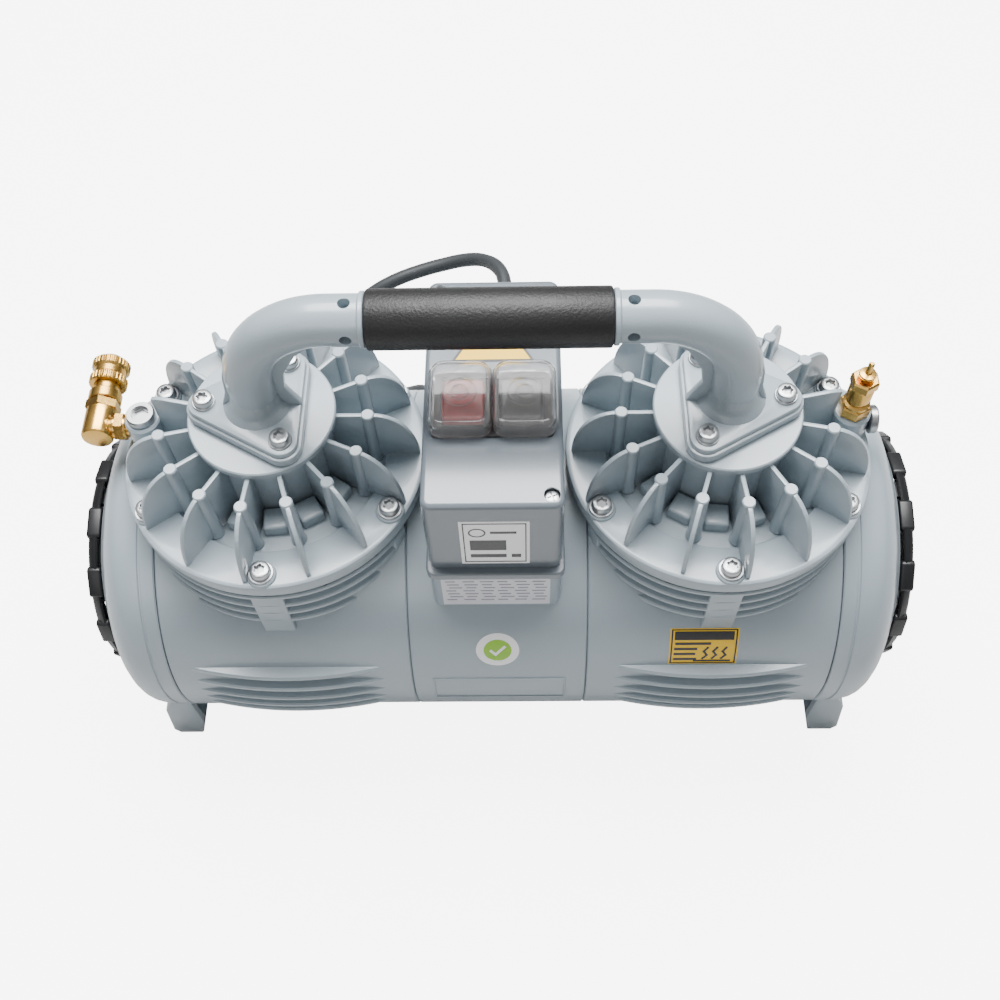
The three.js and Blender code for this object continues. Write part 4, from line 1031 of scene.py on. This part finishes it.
TICK_X = -0.5
TICK_RISE = 47
stick(on_barrel("tick_label", flat_disc(14), TICK_X, TICK_RISE, 0.15), foil_white)
stick(on_barrel("tick_label_middle", flat_disc(9), TICK_X, TICK_RISE, 0.3), foil_green)
tick_strokes = flat_stroke([(-4.2, -0.4), (-1.3, -3.4), (4.4, 3)], 1.9)
tick_parts = [on_barrel("stroke", stroke, TICK_X, TICK_RISE, 0.42 + 0.06 * i) for i,
              stroke in enumerate(tick_strokes)]
stick(joined("tick_sign", tick_parts), foil_white)
CAUTION_X = 132
CAUTION_RISE = 48.5
stick(on_barrel("heat_label", flat_sheet(22, 15), CAUTION_X, CAUTION_RISE, 0.15), foil_yellow)
heat_prints = []
for half_x, half_y, middle in (
        (21, 0.4, (0, 14)), (21, 0.4, (0, -14)), (0.5, 14.3, (-20.6, 0)), (0.5, 14.3, (20.6, 0)),
        (19, 3.4, (0, 9.4)), (11.5, 1, (-7, 3)), (7.5, 1, (-11.5, -1.4)), (7, 1, (-12, -5.8)),
        (7.5, 1, (-11.5, -10.4)), (12, 0.8, (6, -12))):
    bar = flat_sheet(half_x, half_y, middle)
    heat_prints.append(on_barrel("heat_bar", bar, CAUTION_X, CAUTION_RISE, 0.28))
for wave in range(3):
    left = 6 * wave
    strokes = flat_stroke([(left, -9.8), (left + 2.4, -6.8), (left + 0.4, -3.6), (left + 2.6, -0.4)], 1.5)
    heat_prints += [on_barrel("heat_wave", stroke, CAUTION_X, CAUTION_RISE, 0.3) for stroke in strokes]
stick(joined("heat_label_print", heat_prints), foil_black)


def triangle(half, middle_y, grow):
    side = half + grow * 1.7
    base = middle_y - half * 0.6 - grow
    return [(-side, base), (side, base), (0, middle_y + half * 1.1 + grow * 2)]


stick(drawn("shock_border", triangle(22, 33, 1.6), "z", BOX_TOP + 0.02, BOX_TOP + 0.14), foil_black)
stick(drawn("shock_field", triangle(22, 33, 0), "z", BOX_TOP + 0.1, BOX_TOP + 0.24), foil_yellow)
stick(drawn("shock_bolt", [(-1, 47), (-5, 35.5), (-0.6, 36.5), (-2.4, 27), (4.6, 39), (0.6, 38), (3, 47)],
            "z", BOX_TOP + 0.2, BOX_TOP + 0.32), foil_black)

# ---- Inside parts -------------------------------------------------------------------------------
# The motor, crank drive, fans and capacitor keep their machined shapes and take their finishes:
# laminated steel, enamelled copper, ground steel, cast iron, black nylon and moulded rubber.
dark_steel = finish("dark_steel", (0.22, 0.23, 0.24), 0.4, metallic=1.0, tone=0.3, patch=80, grain=1400,
                    relief=0.03)
copper = finish("enamelled_copper", (0.55, 0.22, 0.08), 0.35, metallic=0.8, tone=0.4, patch=150, grain=1200,
                relief=0.3)
can_plastic = finish("can_plastic", (0.72, 0.72, 0.68), 0.4, tone=0.06, patch=50, grain=900, relief=0.03)
diaphragm_rubber = finish("diaphragm_rubber", (0.02, 0.02, 0.021), 0.6, tone=0.3, patch=60, grain=1500,
                          relief=0.03)
inside = {"stator_core": dark_steel, "rotor_core": dark_steel, "motor_shaft": steel,
          "handle_core_tube": dark_steel, "run_capacitor": can_plastic}
for side in ("left", "right"):
    for node, material in (("stator_winding", copper), ("main_bearing", steel), ("fan", black_plastic),
                           ("eccentric", dark_steel), ("rod_bearing", steel), ("connecting_rod", dark_steel),
                           ("diaphragm", diaphragm_rubber), ("diaphragm_clamp", steel)):
        inside[f"{side}_{node}"] = material
for node, material in inside.items():
    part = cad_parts[node]
    part.data.materials.clear()
    part.data.materials.append(material)

# ---- Floor and lights -----------------------------------------------------------------------
# Pale seamless studio floor under a wide ceiling light, with a weaker light from the front.
bpy.ops.mesh.primitive_plane_add(size=40, location=(0, 0, -0.0004))
floor = bpy.context.object
floor.name = "studio_floor"
floor_paint = finish("floor_paint", (0.6, 0.6, 0.6), 0.8, tone=0.01, patch=2, grain=300, relief=0.01)
floor.data.materials.append(floor_paint)
floor_shader = floor_paint.node_tree.nodes["Principled BSDF"]
floor_shader.inputs["Emission Color"].default_value = (1, 1, 1, 1)
seen = floor_paint.node_tree.nodes.new("ShaderNodeLightPath")
glow = add_node(floor_paint.node_tree, "ShaderNodeMath", operation="MULTIPLY")
glow.inputs[1].default_value = 6.0
wire(floor_paint.node_tree, (seen.outputs["Is Camera Ray"], glow.inputs[0]),
     (glow.outputs[0], floor_shader.inputs["Emission Strength"]))
floor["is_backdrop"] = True

# The room is bright overhead and falls off towards the horizon, so upright faces stay darker.
world = bpy.data.worlds.new("studio")
world.use_nodes = True
sky = world.node_tree
direction = sky.nodes.new("ShaderNodeTexCoord")
split = sky.nodes.new("ShaderNodeSeparateXYZ")
fall_off = add_node(sky, "ShaderNodeMapRange", From_Min=0.0, From_Max=0.8, To_Min=0.08, To_Max=0.6)
backdrop = sky.nodes.new("ShaderNodeLightPath")
brighter = add_node(sky, "ShaderNodeMath", operation="MAXIMUM")
wire(sky, (direction.outputs["Generated"], split.inputs["Vector"]),
     (split.outputs["Z"], fall_off.inputs["Value"]), (fall_off.outputs["Result"], brighter.inputs[0]),
     (backdrop.outputs["Is Camera Ray"], brighter.inputs[1]),
     (brighter.outputs[0], sky.nodes["Background"].inputs["Strength"]))
sky.nodes["Background"].inputs["Color"].default_value = (1.0, 1.0, 1.0, 1)
bpy.context.scene.world = world


def softbox(name, place, aim, size, power):
    lamp = bpy.data.lights.new(name, "AREA")
    lamp.shape = "RECTANGLE"
    lamp.size, lamp.size_y = size
    lamp.energy = power
    holder = bpy.data.objects.new(name, lamp)
    holder.location = place
    holder.rotation_euler = (Vector(aim) - Vector(place)).to_track_quat("-Z", "Y").to_euler()
    bpy.context.collection.objects.link(holder)


softbox("ceiling_light", (0.0, 0.55, 1.9), (0, 0, 0.2), (1.6, 1.0), 105)
softbox("front_light", (-0.5, -1.6, 1.3), (0, 0, 0.15), (1.2, 0.8), 5)

low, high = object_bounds()
